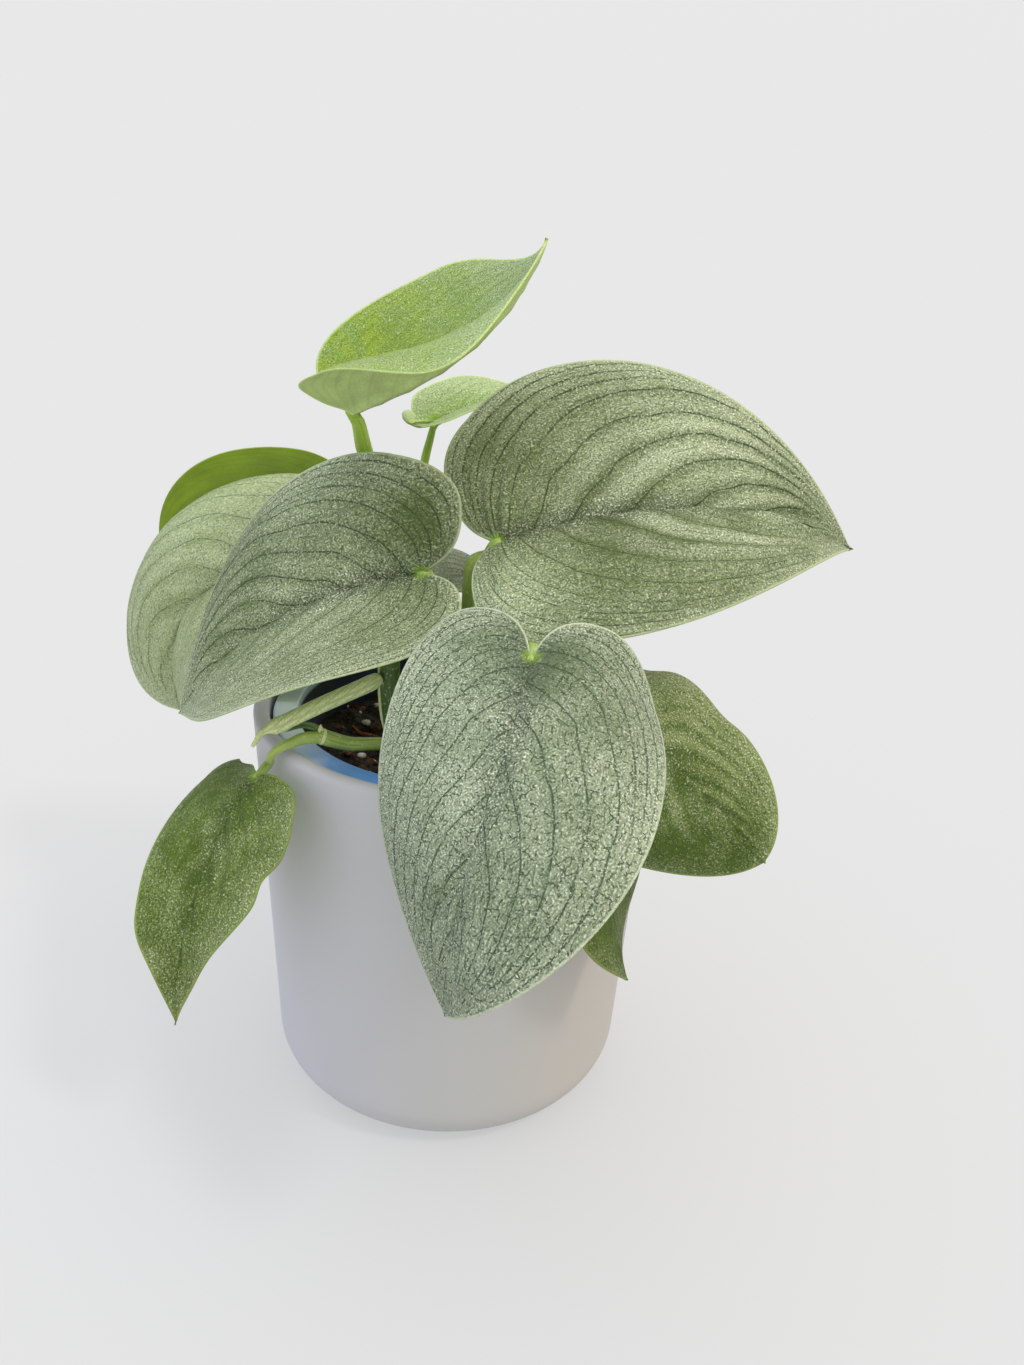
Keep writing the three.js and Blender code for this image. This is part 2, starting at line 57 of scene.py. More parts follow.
# Soft sun from above, to the front right
SUN_STRENGTH, SUN_WIDTH = 0.8, 9
SUN_COLOUR, SUN_FROM = (1.0, 0.985, 0.95), (0.6, -0.45, 1.0)

# Sky: its glow at the horizon, what it gains overhead and how late; its tints set in sideways and
# upward between these shares of a look's length
SKY_GLOW, SKY_GAIN, SKY_RISE = 0.807, 1.4, 2.5
SKY_COOL, SKY_WARM = "#dceaff", "#ffeed2"
SKY_SIDE, SKY_HIGH = (0.15, 0.7), (0.26, 0.45)

# Outer pot
OUTER_TOP_RADIUS, OUTER_BASE_RADIUS, OUTER_HEIGHT = 70, 63, 146
OUTER_WALL, OUTER_FLOOR, OUTER_BASE_ROUNDING, OUTER_RIM_ROUNDING = 5.4, 6, 18, 2.6
SPIN_STEPS = 144

# Nursery pot; the flat of its lip dips a little between the rounded edges
NURSERY_CENTRE = (0.3, -0.2)
NURSERY_TOP, NURSERY_LIP_RADIUS, NURSERY_LIP_DEPTH = 143, 63.6, 11
NURSERY_LIP_ROUNDING, NURSERY_LIP_DIP = 1.2, 0.15
NURSERY_NECK_RADIUS, NURSERY_BASE_RADIUS = 56.5, 46
NURSERY_WALL, NURSERY_FOOT, NURSERY_EDGE = 1.4, 2, 0.7

# Potting mix: GAP keeps it off the pot's wall, and its lumps and crumbs have a height and a size.
# Its mesh has SOIL_CELLS across the top and rings at SOIL_LEVELS; loose bits lie in STREWN_REACH
SOIL_TOP, SOIL_RELIEF, SOIL_EDGE_DROP = 129, 1.6, 3.5
SOIL_LUMP, SOIL_CRUMB = (1.3, 5.5), (0.7, 2.2)
SOIL_CELLS, SOIL_LEVELS = 120, (90, 50)
STREWN_REACH = 52
ROOT_FIBRE = [(-37.5, 12), (-34.5, 8.5), (-32, 5.5), (-28, 3.2)]
GAP = 0.3

# Blades: mesh rows from notch to tip, shared out over the outline's three curves, and mesh columns
# from midrib to margin. The midrib is walked ahead to the tip and back to just past the lobes
ROWS, COLUMNS = 102, 30
OUTLINE_ROWS = (3, 5, 9)
STEPS_AHEAD, STEPS_BEHIND, PAST_LOBE = 60, 12, 1.05
BLADE_HALF_THICKNESS = 0.32
# Veins on each side, the strips between them that swell each by its own share, and that share
SIDE_VEINS, STRIPS = 7, 40
SWELL_LEAST, SWELL_MORE = 0.55, 0.9
# Height and width of the channel over the midrib, the keel under it and the ridge under a vein
CHANNEL, KEEL, RIDGE = (0.5, 1.5), (1.0, 1.3), (0.14, 0.5)
# How late a blade bends, and how much of its lime tint it loses toward the tip
BEND_LATE, LIME_LOSS = 1.3, 0.85

# Each blade starts at the notch over its petiole. turn is its heading, pitch and roll there, and
# curve how far it bends down, sways and twists by the tip. seat is how far under it the petiole
# ends, and arrive how far below and behind that its last bend lies. fold lifts the left and right
# halves and eases to fold_tip, later where hold is larger; arch rolls them down; drop lowers the
# lobes. shape is where it is widest, how full it stays toward the tip, how much wider its left half
# is, and how far the lobes tuck in. fore is where the outline turns to the tip. ripple waves the
# margins by height, count and phase, and dents draw one in by side, place, depth and spread.
# tone is how silvery the upper face is, how light, and how lime; its lightness is partly painted
# light, a blade set lighter or darker for how brightly it is lit. drift is how much more silvery it
# gets toward the left margin and the tip, partly painted light where that side or end looks lit.
# habit is how much more bloom the swellings between veins carry, partly painted light and shade of
# their relief, and how dark the veins and their net show. quilt is the swellings' height. Spots at
# x, y on the flat blade each have a width and extra bloom and lightness: painted highlight where
# they lighten and painted shade where they darken, over partly real bloom.
BLADES = {
    "blade_front": dict(
        at=(20, -77.5, 196.5), turn=(-98, -19, 3), curve=(78, -35, 20), arrive=(1.2, 5.5),
        fold=(-3, 10), fold_tip=9, arch=(50, 34), drop=-6, length=108.5, width=84.5,
        lobe=18, shape=(0.31, 0.4, 0.06, 0.05),
        skin="silver", tone=(0.6, 0.93, 0), habit=(0.15, 0.95, 0.9), drift=(-0.1, -0.05),
        quilt=0.35,
        painted_light_spots=((0, 0, 15, -0.6, -0.12), (40, 43, 15, 0.35, 0.06), (15, -30, 20, 0.2, 0.05),
               (50, -14, 16, 0.25, 0.05), (88, 8, 16, 0.1, -0.05))),
    "blade_right": dict(
        at=(10.6, -16.6, 209.2), turn=(-1, 20, 33), curve=(52, 23, 3), fold=(11, 16),
        fold_tip=20, arch=(5, 19), drop=4, length=127.3, width=108.6, lobe=10.6,
        shape=(0.23, 0.21, 0.06, 0.06),
        skin="sage", tone=(0.38, 0.97, 0), habit=(0.5, 0.9, 0.45), drift=(0.2, 0), quilt=1.4,
        painted_light_spots=((2, -26, 17, 0.5, 0.2), (36, -8, 16, -0.25, -0.12), (72, 26, 20, 0.25, 0.06),
               (0, 36, 12, -0.2, -0.05))),
    "blade_left": dict(
        at=(-12.5, -26.5, 201.5), turn=(168, -16, -55), curve=(45, 5, 33), arrive=(6, -1),
        fold=(25, 40), fold_tip=6, arch=(-20, 38), drop=6, length=103.5, width=91.5,
        lobe=15.5, shape=(0.45, 0.36, 0.02, 0.06),
        skin="sage", tone=(0.38, 0.97, 0), habit=(0.2, 0.9, 0.55), drift=(0.2, 0.1), quilt=0.5,
        painted_light_spots=((33, -33, 18, 0.35, 0.08), (28, 6, 22, 0.25, 0.05), (-6, -14, 12, -0.3, -0.04),
               (8, -30, 9, 0.15, 0.05))),
    "blade_left_behind": dict(
        at=(-37.5, 33, 174.5), turn=(172, 15, -55), curve=(130, -17, -17), fold=(20, 17),
        fold_tip=31, arch=(10, 89), drop=10, length=118, width=98, lobe=19,
        shape=(0.37, 0.55, -0.05, 0.08),
        skin="pale", tone=(0.62, 0.94, 0.1), habit=(0.15, 0.6, 0.45), quilt=0.6),
    "blade_back_green": dict(
        at=(-60.2, 95.5, 180.6), turn=(180, 0, 62), curve=(60, -8, -2), fold=(11, 10),
        fold_tip=7, arch=(21, 15), drop=3, length=71.9, width=74.4, lobe=12.1,
        shape=(0.27, 0.14, -0.01, 0.08),
        skin="green", tone=(-0.05, 1.3, 0.85), habit=(0.1, 0.2, 0), drift=(-0.25, 0), quilt=0.4),
    "blade_lower_right": dict(
        at=(42.9, -57.3, 174), turn=(8, -39, 41), curve=(14, -6, 34), seat=2,
        fold=(0, -5), fold_tip=-5, arch=(34, 27), drop=15, length=82.5, width=69, lobe=8.7,
        shape=(0.23, 0.3, -0.1, 0.08), fore=0.98, ripple=((2, 1.6, 0.05), (0, 0, 0)),
        dents=((1, 0.42, 0.2, 0.06), (1, 0.53, -0.12, 0.06), (1, 0.62, 0.07, 0.04)),
        skin="green", tone=(0.48, 0.96, 0.1), habit=(0.4, 0.3, 0.1), drift=(0.5, -0.3), quilt=1.1),
    "blade_low_front": dict(
        at=(45.8, -58.2, 137.5), turn=(-44, -80, 1), curve=(-8, 23, -15), seat=1.8,
        arrive=(-0.5, 5), fold=(21, 7), fold_tip=-15, arch=(-20, 21), drop=15, length=61.5,
        width=37, lobe=5, shape=(0.46, 0.33, -0.06, 0.08),
        skin="green", tone=(-0.3, 0.75, 0.55), habit=(0.2, 0.15, 0), drift=(0, 0.2), quilt=0.3),
    "blade_hanging_left": dict(
        at=(-63, -46, 139.5), turn=(-138, -49, 2), curve=(39, 12, -37), seat=1.6,
        arrive=(1, 4), fold=(-1, -16), fold_tip=25, arch=(-1, 17), drop=24, length=88,
        width=56.5, lobe=3, shape=(0.13, 0.08, -0.02, 0.13),
        ripple=((1.2, 3, 0.1), (1.5, 2.5, 0.3)),
        dents=((1, 0.565, 0.12, 0.035), (1, 0.8, 0.15, 0.1), (-1, 0.5, -0.07, 0.1),
               (-1, 0.77, -0.12, 0.05)),
        skin="green", tone=(0.2, 0.92, 0.25), habit=(0.15, 0.2, 0), drift=(0.3, 0.1), quilt=0.8),
    "blade_top_young": dict(
        at=(-36.5, 2.5, 244.5), turn=(-2, 22, 32), curve=(-48, -31, -6), seat=0.9,
        arrive=(2.2, -1.2), fold=(7, 91), fold_tip=3, hold=1.7, arch=(-14, 66), drop=5,
        length=85.5, width=87, lobe=8, shape=(0.47, 0.21, -0.04, 0.08),
        skin="young", tone=(0.22, 0.9, 1.2), habit=(0.1, 0.25, 0), drift=(0, 0.7), quilt=0.35),
    "blade_small_young": dict(
        at=(-10.6, 33.2, 235.3), turn=(33, 18, -1), curve=(36, 5, 2), fold=(35, 18),
        fold_tip=24, arch=(15, 6), drop=-10, length=49.1, width=32.4, lobe=9.1,
        shape=(0.36, 0.11, 0.01, 0.1), dents=((1, 0.22, 0.75, 0.07),),
        skin="young", tone=(0.85, 1.03, 0.15), habit=(0.1, 0.25, 0), quilt=0.3),
    "blade_centre_small": dict(
        at=(10.5, 37, 179), turn=(244, 20, -20), curve=(22, 7, 0), fold=(15, 11),
        fold_tip=10, arch=(15, 21), drop=20, length=52, width=40, lobe=8,
        shape=(0.34, 0.12, 0, 0.1),
        skin="sage", tone=(0.4, 0.9, 0), habit=(0.3, 0.6, 0.3), quilt=0.3),
}
# What a blade has where its entry says nothing else
USUAL = dict(seat=1.3, arrive=(4, 3), hold=1, fore=0.8, ripple=((0, 0, 0), (0, 0, 0)), dents=(),
             drift=(0, 0), painted_light_spots=())
BLADES = {name: {**USUAL, **leaf} for name, leaf in BLADES.items()}

# Stems and the petioles that branch from them: the blade, the radii at its start and end, and the
# way to it. A petiole ends under its blade's notch, and a stem starts 12 mm deep in the mix
STEMS = {
    "stem_back": dict(
        radius=(3, 2.6), path=[(-10, 20, 117), (-10, 20, 130), (-10, 21, 150)],
        petioles=[
            ("blade_top_young", (2.5, 2.3),
             [(-10, 20, 140), (-15, 16, 175), (-30, 9, 222), (-33, 7.5, 231)]),
            ("blade_small_young", (1.9, 1.3), [(-10, 21, 142), (-18, 28, 182), (-14.2, 32, 221)]),
            ("blade_left_behind", (2.3, 1.6), [(-10, 20, 138), (-15, 26, 150), (-26, 36, 162)]),
            ("blade_back_green", (2.3, 1.5), [(-10, 22, 138), (-18, 42, 159), (-41, 77, 178)]),
            ("blade_centre_small", (1.7, 1.2), [(-10, 20, 138), (-4, 30, 150), (7, 38, 164)]),
        ]),
    "stem_front": dict(
        radius=(3.2, 2.8), path=[(6, -10, 117), (6, -10, 130), (6, -11, 148)],
        petioles=[
            ("blade_right", (2.4, 2.2),
             [(6, -10, 140), (3, -11, 165), (2.4, -12, 185), (2.7, -12, 194.5), (3.8, -12.8, 201)]),
            ("blade_left", (2.4, 1.8),
             [(6, -11, 138), (0, -15, 165), (-3.5, -18, 188), (-6, -18, 194)]),
            ("blade_front", (2.5, 1.9), [(7, -12, 138), (12, -28, 163), (18, -58, 188)]),
        ]),
    "stem_right": dict(
        radius=(2.8, 2.5), path=[(28, -16, 117), (28, -16, 130), (28, -17, 146)],
        petioles=[
            ("blade_lower_right", (2.2, 1.7), [(28, -16, 138), (31, -28, 158), (37.5, -49, 172)]),
            ("blade_low_front", (2, 1.4),
             [(28, -17, 136), (31, -33, 153), (38, -46, 158), (44, -55.5, 153)]),
        ]),
    "stem_left": dict(
        radius=(2.6, 2.6, 2.1, 2.1, 2.6),
        path=[(-6, -32, 117), (-6, -32, 128), (-8, -34.5, 140), (-15, -39, 146.3),
              (-23, -41, 148.8), (-33.6, -42, 149), (-39.7, -43, 151), (-43.5, -43.8, 152.6)],
        petioles=[
            ("blade_hanging_left", (2.0, 1.3),
             [(-41.5, -43.4, 151.8), (-47.3, -45, 152.1), (-50.9, -46.3, 151.2),
              (-54.8, -47.3, 149.6), (-57.8, -47, 146.5)]),
        ]),
    "stem_rolled_leaf": dict(
        radius=(3.6, 3.6),
        path=[(-18, -22, 117), (-18, -22, 130), (-18, -22, 134), (-18.4, -27, 140.5),
              (-19.3, -32.5, 147), (-20.8, -33.5, 154), (-21.9, -34, 165), (-22, -34, 177)],
        petioles=[]),
}
ROLLED_LEAF_PATH = [(-24.6, -37.1, 170.2), (-26.9, -39.5, 169.6), (-35.1, -41.5, 166.1),
                    (-43.9, -43.5, 162.3), (-55, -47, 157.6), (-58.5, -48.3, 156.3),
                    (-60.5, -49.3, 155.4), (-61.5, -50.3, 153.6), (-62.8, -51.3, 151.8)]
# Pairs of share along the path and radius
ROLLED_LEAF_RADIUS = ((0, 1.2), (0.03, 2), (0.08, 2.3), (0.8, 2.2), (0.85, 1.1), (1, 0.5))


def lerp(a, b, t):
    return a + (b - a) * t


def linear(hex_colour):
    """An sRGB hex colour as linear red, green, blue and alpha."""
    parts = [int(hex_colour[k:k + 2], 16) / 255 for k in (1, 3, 5)]
    return (*[c / 12.92 if c < 0.04045 else ((c + 0.055) / 1.055) ** 2.4 for c in parts], 1)


def finished(bm, name, materials, smooth=True):
    """The bmesh as an object with its materials."""
    mesh = bpy.data.meshes.new(name)
    bm.to_mesh(mesh)
    bm.free()
    for material in materials:
        mesh.materials.append(material)
    if smooth:
        mesh.shade_smooth()
    piece = bpy.data.objects.new(name, mesh)
    bpy.context.scene.collection.objects.link(piece)
    return piece


# Materials

def new_material(name):
    """An empty node material, and the function that adds a node to it."""
    material = bpy.data.materials.new(name)
    material.use_nodes = True
    material.node_tree.nodes.clear()
    return material, partial(add_node, material.node_tree)


def add_node(tree, inputs, kind, out=0, **settings):
    """Adds a shader node with its values, links and settings, and gives one of its outputs."""
    node = tree.nodes.new("ShaderNode" + kind)
    for key, value in settings.items():
        setattr(node, key, value)
    for key, value in inputs.items() if isinstance(inputs, dict) else enumerate(inputs):
        if isinstance(value, bpy.types.NodeSocket):
            tree.links.new(value, node.inputs[key])
        else:
            node.inputs[key].default_value = value
    return node.outputs[out] if node.outputs else node


# The nodes used most, with their settings
PLUS, MINUS, TIMES, TIMES_PLUS, LARGER, ZIGZAG, FLOOR, ABSOLUTE, POWER = (
    dict(kind="Math", operation=operation) for operation in (
        "ADD SUBTRACT MULTIPLY MULTIPLY_ADD MAXIMUM PINGPONG FLOOR ABSOLUTE POWER".split()))
V_PLUS, V_TIMES, V_TIMES_PLUS, SCALE = (
    dict(kind="VectorMath", operation=operation)
    for operation in "ADD MULTIPLY MULTIPLY_ADD SCALE".split())
LENGTH = dict(kind="VectorMath", operation="LENGTH", out=1)
PLACE, OWN = dict(kind="TexCoord", out=3), dict(kind="Attribute", out=1)
PARTS, NOISE = dict(kind="SeparateXYZ"), dict(kind="TexNoise")
STEP = dict(kind="MapRange", interpolation_type="SMOOTHSTEP")
BLEND = dict(kind="Mix", data_type="RGBA", out=2)
EDGES = dict(kind="TexVoronoi", feature="DISTANCE_TO_EDGE", voronoi_dimensions="2D")


def surfaced(material, base, coats, roughness, specular, height, depth, strength, light=None):
    """Coats of colour laid over a base, each by its own amount, and a bump, as one surface."""
    add = partial(add_node, material.node_tree)
    colour = linear(base)
    for amount, coat in coats:
        colour = add({0: amount, 6: colour, 7: linear(coat)}, **BLEND)
    # light scales the whole colour: painted lightness, a blade set lighter or darker for how it is
    # lit
    if light is not None:
        colour = add({0: colour, "Scale": light}, **SCALE)
    normal = add({"Height": height, "Distance": depth, "Strength": strength}, "Bump")
    surface = add({"Base Color": colour, "Roughness": roughness, "Specular IOR Level": specular,
                   "Normal": normal}, "BsdfPrincipled")
    add((surface,), "OutputMaterial")
    return material


# Each kind of blade: its slot, colours, how uneven its bloom is by grain and by patch, and how
# much painted glint flecks its bloom
SKIN_PARTS = ("slot", "ground", "silver", "vein", "rim", "under", "streak", "tip", "grain", "patch",
              "painted_glints")
SKINS = {kind: dict(zip(SKIN_PARTS, values)) for kind, *values in (
    ("silver", "leaf_silver", "#61724f", "#a2ad90", "#3d4f33", "#ced8ba", "#a9b98a", "#50594e",
     "#6b4c30", 2.5, 1.1, 0.9),
    ("sage", "leaf_silver", "#566731", "#a4af88", "#34442a", "#b8c596", "#a0b07c", "#3f473d",
     "#7d9140", 2.6, 0.7, 0.9),
    ("pale", "leaf_silver", "#87975c", "#bcc79c", "#566a3c", "#d0dab0", "#a9b98a", "#6c7852",
     "#8d7a46", 2.4, 0.7, 0.6),
    # The green kind's underside is painted brighter than its own green, standing in for light
    # shining through
    ("green", "leaf_green", "#455c0c", "#8c9a62", "#324512", "#8b9f4e", "#98b52c", "#3a4d1c",
     "#7c8a44", 3.2, 1.4, 0.8),
    ("young", "leaf_young", "#67862a", "#acc08c", "#527026", "#cde08c", "#cbdf94", "#84a244",
     "#a9b86c", 4.0, 1.0, 0.6),
)}


def leaf_upper(name, skin):
    """Living leaf under a thin wax, with a satin bloom: air under its skin scatters light in fine
    grains, fewer over the veins and their net and more on the swellings between them, where the
    extra bloom is partly painted light and shade of their relief. Painted glints fleck the bloom.
    Places on the flat blade are in mm, so each pattern repeats at the size it is divided by."""
    material, add = new_material(name)
    flat, place, tone, habit = (
        add((), **OWN, attribute_name=own) for own in ("flat", "vein_place", "tone", "habit"))
    _, across, reach = add((flat,), **PARTS).node.outputs
    count, pitch, margin = add((place,), **PARTS).node.outputs
    silver, light, lime = add((tone,), **PARTS).node.outputs
    swell_bloom_and_shade, veining, netting = add((habit,), **PARTS).node.outputs
    on_leaf = add((flat, (1, 1, 0)), **V_TIMES)
    wander, waver, patch, broken, point = (
        add({"Vector": on_leaf, "Scale": 1 / size, "Detail": detail}, **NOISE)
        for size, detail in ((20, 2.0), (8, 2.0), (16, 3.0), (2.2, 1.0), (0.6, 1.0)))

    # Veins about 0.5 mm wide with fainter ones between; each wanders and comes and goes, and
    # they fade where they crowd
    strand = add((wander, 0.5, count), **TIMES_PLUS)
    near = add((strand, 0.5), **ZIGZAG)
    half_way = add((0.5, near), **MINUS)
    vein = add((add((near, pitch), **TIMES), 0.05, 0.4, 1, 0), **STEP)
    vein = add((vein, add((waver, 0.3, 0.5, 0.4, 1), **STEP)), **TIMES)
    thin = add((add((half_way, pitch), **TIMES), 0.05, 0.3, 0.6, 0), **STEP)
    thin = add((thin, add((waver, 0.4, 0.58, 1, 0), **STEP)), **TIMES)
    roomy = add((veining, add((pitch, 1.2, 4, 0.3, 1), **STEP)), **TIMES)
    vein = add((add((vein, thin), **LARGER), roomy), **TIMES)

    # Broken net between the veins: short crooked lines 0.3 mm wide round cells of 2.6 mm
    swirl = add({"Vector": on_leaf, "Scale": 1 / 3.5, "Detail": 2.0}, **NOISE, out=1)
    moved = add((swirl, (5, 5, 0), on_leaf), **V_TIMES_PLUS)
    broken = add((broken, 0.44, 0.56, 0, 1), **STEP)
    cells = add({"Vector": moved, "Scale": 1 / 2.6}, **EDGES)
    cells = add((cells, 0.02, 0.09, 1, 0), **STEP)
    net = add((add((cells, broken), **TIMES), netting), **TIMES)
    lines = add((vein, net), **LARGER)

    # Bloom: a film thick and thin over patches of 16 mm. Its real grains are cells of about
    # 0.1 mm, too fine to show, so it is drawn crinkled at 0.9 mm and pitted at 0.6 mm
    grain = add({"Vector": moved, "Scale": 1 / 0.9, "Detail": 3.0, "Roughness": 0.75}, **NOISE)
    uneven = add((grain, skin["grain"], -(skin["grain"] + skin["patch"]) / 2), **TIMES_PLUS)
    uneven = add((patch, skin["patch"], uneven), **TIMES_PLUS)
    # Each strip between two veins swells by an amount of its own, and narrow strips hardly at all.
    # The extra bloom on a swelling is partly painted light and shade: paler on the rises, darker by
    # the veins
    strip = add({"W": add((strand,), **FLOOR)}, "TexWhiteNoise", noise_dimensions="1D")
    wide = add((pitch, 2, 7, 0, 1.5), **STEP)
    swell = add((near, 0.02, 0.45, 0, 1), **STEP)
    swell = add((swell, add((strip, wide), **TIMES)), **TIMES)
    # The film thickens toward the margin and along it, and thins out at the notch
    edgeward = add((margin, 0, 24, 0.1, -0.12), **STEP)
    along_edge = add((margin, 0.5, 7, 0.25, 0), **STEP)
    from_notch = add((on_leaf,), **LENGTH)
    greener = add((from_notch, 3, 24, -0.18, 0), **STEP)
    cover = add((add((edgeward, along_edge), **PLUS), greener), **PLUS)
    cover = add((silver, cover), **PLUS)
    cover = add((cover, uneven), **PLUS)
    cover = add((swell, swell_bloom_and_shade, cover), use_clamp=True, **TIMES_PLUS)
    warm = add((lime, add((waver, 0.4, 0.62, 0.45, 0.85), **STEP)), **TIMES)
    pits = add((point, 0.34, 0.44, 0.55, 0), **STEP)
    # Painted glints: pale specks on the bloom, standing in for its grains catching the light
    painted_glint = add((point, 0.56, 0.66, 0, 1), **STEP)
    painted_glint = add((painted_glint, add((cover, skin["painted_glints"]), **TIMES)), **TIMES)

    # Dark streak along the midrib, salted with bloom, fading before the tip
    streak = add((across,), **ABSOLUTE)
    streak = add((streak, 0.4, 8, 0.7, 0), **STEP)
    fading = add((reach, 0.25, 0.8, 1, 0.1), **STEP)
    speckled = add((point, 0.4, 0.6, 1, 0.2), **STEP)
    streak = add((add((streak, fading), **TIMES), speckled), **TIMES)

    # Pale rim 0.5 mm wide, green joint at the notch, dry tip
    rim = add((margin, 0.25, 0.95, 0.9, 0), **STEP)
    joint = add((from_notch, 1.0, 4.0, 0.85, 0), **STEP)
    tip = add((reach, 0.985, 0.997, 0, 1), **STEP)

    coats = ((cover, skin["silver"]), (warm, "#90ac24"), (pits, skin["vein"]),
             (streak, skin["streak"]), (lines, skin["vein"]), (painted_glint, "#dfe6d0"),
             (rim, skin["rim"]), (joint, "#86a83a"), (tip, skin["tip"]))
    height = add((grain, 2.2, add((point, 0.8), **TIMES)), **TIMES_PLUS)
    height = add((height, lines), **MINUS)
    roughness = add((grain, 0.35, 0.65, 0.55, 0.35), **STEP)
    return surfaced(material, skin["ground"], coats, roughness, 0.25, height, 0.25 * MM, 1.0, light)


def leaf_under(name, skin):
    """Living leaf's underside: matt and paler, mottled over 9 mm, with veins and a net of 1.7 mm
    cells that stand out and show a little darker."""
    material, add = new_material(name)
    flat, place = (add((), **OWN, attribute_name=own) for own in ("flat", "vein_place"))
    count, pitch, margin = add((place,), **PARTS).node.outputs
    on_leaf = add((flat, (1, 1, 0)), **V_TIMES)
    far = add((add((count, 0.5), **ZIGZAG), pitch), **TIMES)
    main = add((far, 0.0, 0.9, 0.15, 0), **STEP)
    cells = add({"Vector": on_leaf, "Scale": 1 / 1.7}, **EDGES)
    marks = add((main, add((cells, 0, 0.2, 0.12, 0), **STEP)), **LARGER)
    mottle = add({"Vector": on_leaf, "Scale": 1 / 9, "Detail": 4.0}, **NOISE)
    shade = add((mottle, 0.3, 0.7, 0, 0.2), **STEP)
    rim = add((margin, 0.3, 0.8, 0.7, 0), **STEP)
    coats = (shade, "#000000"), (marks, skin["ground"]), (rim, skin["rim"])
    height = add((main, 2.0, add((mottle, 0.4), **TIMES)), **TIMES_PLUS)
    return surfaced(material, skin["under"], coats, 0.55, 0.35, height, 0.15 * MM, 0.7)


def stem_skin(name, green, pale):
    """Living stem under a thin wax: smooth and green, with faint lengthwise lines 0.6 mm apart.
    Its pale flecks, really about 0.3 mm, are drawn at 1.1 mm so that they show."""
    material, add = new_material(name)
    run = add((), **OWN, attribute_name="run")
    place = add((), **PLACE)
    lines = add((run, (1.6, 0.06, 0)), **V_TIMES)
    stripe = add({"Vector": lines, "Scale": 1.0, "Detail": 2.0}, **NOISE)
    fleck = add({"Vector": place, "Scale": 1 / (1.1 * MM), "Detail": 2.0}, **NOISE)
    broad = add({"Vector": place, "Scale": 1 / (14 * MM), "Detail": 1.0}, **NOISE)
    amount = add((broad, 0.7, add((stripe, 0.6), **TIMES)), **TIMES_PLUS)
    amount = add((amount, 0.45, 0.85, 0, 1), **STEP)
    flecks = add((fleck, 0.58, 0.7, 0, 0.5), **STEP)
    height = add((fleck, 0.4, stripe), **TIMES_PLUS)
    coats = (amount, pale), (flecks, "#c3d38a")
    return surfaced(material, green, coats, 0.4, 0.45, height, 0.12 * MM, 0.6)


def rolled_skin(name):
    """Living leaf, new and still rolled: pale satin outside with fine slanting veins 1.4 mm
    apart, and a bloom drawn at 0.7 mm, coarser than its real grains, so that it shows."""
    material, add = new_material(name)
    run = add((), **OWN, attribute_name="run")
    slanted = add((run, (1.0, 0.22, 0)), **V_TIMES)
    round_it, along_it, _ = add((slanted,), **PARTS).node.outputs
    wave = add((add((round_it, along_it), **PLUS), 1.4 / 2), **ZIGZAG)
    vein = add((wave, 0.0, 0.3, 0.5, 0), **STEP)
    grain = add({"Vector": run, "Scale": 1 / 0.7, "Detail": 3.0}, **NOISE)
    amount = add((grain, 0.2, 0.8, 0, 1), **STEP)
    coats = (amount, "#e6eec2"), (vein, "#8ba556")
    height = add((grain, vein), **MINUS)
    return surfaced(material, "#bccd76", coats, 0.5, 0.4, height, 0.15 * MM, 0.6)


def moulded_white(name):
    """White polypropylene off the mould: even, with painted light tinting it a little bluer on the
    left and warmer on the right. Its grain is drawn at 0.5 mm, coarser than the mould's, so that it
    shows."""
    material, add = new_material(name)
    place = add((), **PLACE)
    across, _, _ = add((place,), **PARTS).node.outputs
    drift, grain = (add({"Vector": place, "Scale": 1 / (size * MM), "Detail": 2.0}, **NOISE)
                    for size in (60, 0.5))
    across = add((drift, 20 * MM, across), **TIMES_PLUS)
    # Painted light: a cool tint on the left side and a warm tint on the right side of the pot
    painted_cool_light_left = add((across, -50 * MM, 10 * MM, 1, 0), **STEP)
    painted_warm_light_right = add((across, 10 * MM, 70 * MM, 0, 1), **STEP)
    coats = (painted_cool_light_left, "#c5c4cc"), (painted_warm_light_right, "#b9b3ac")
    rough = add((grain, 0.3, 0.7, 0.44, 0.54), **STEP)
    return surfaced(material, "#b8b8b7", coats, rough, 0.5, grain, 0.03 * MM, 0.5)


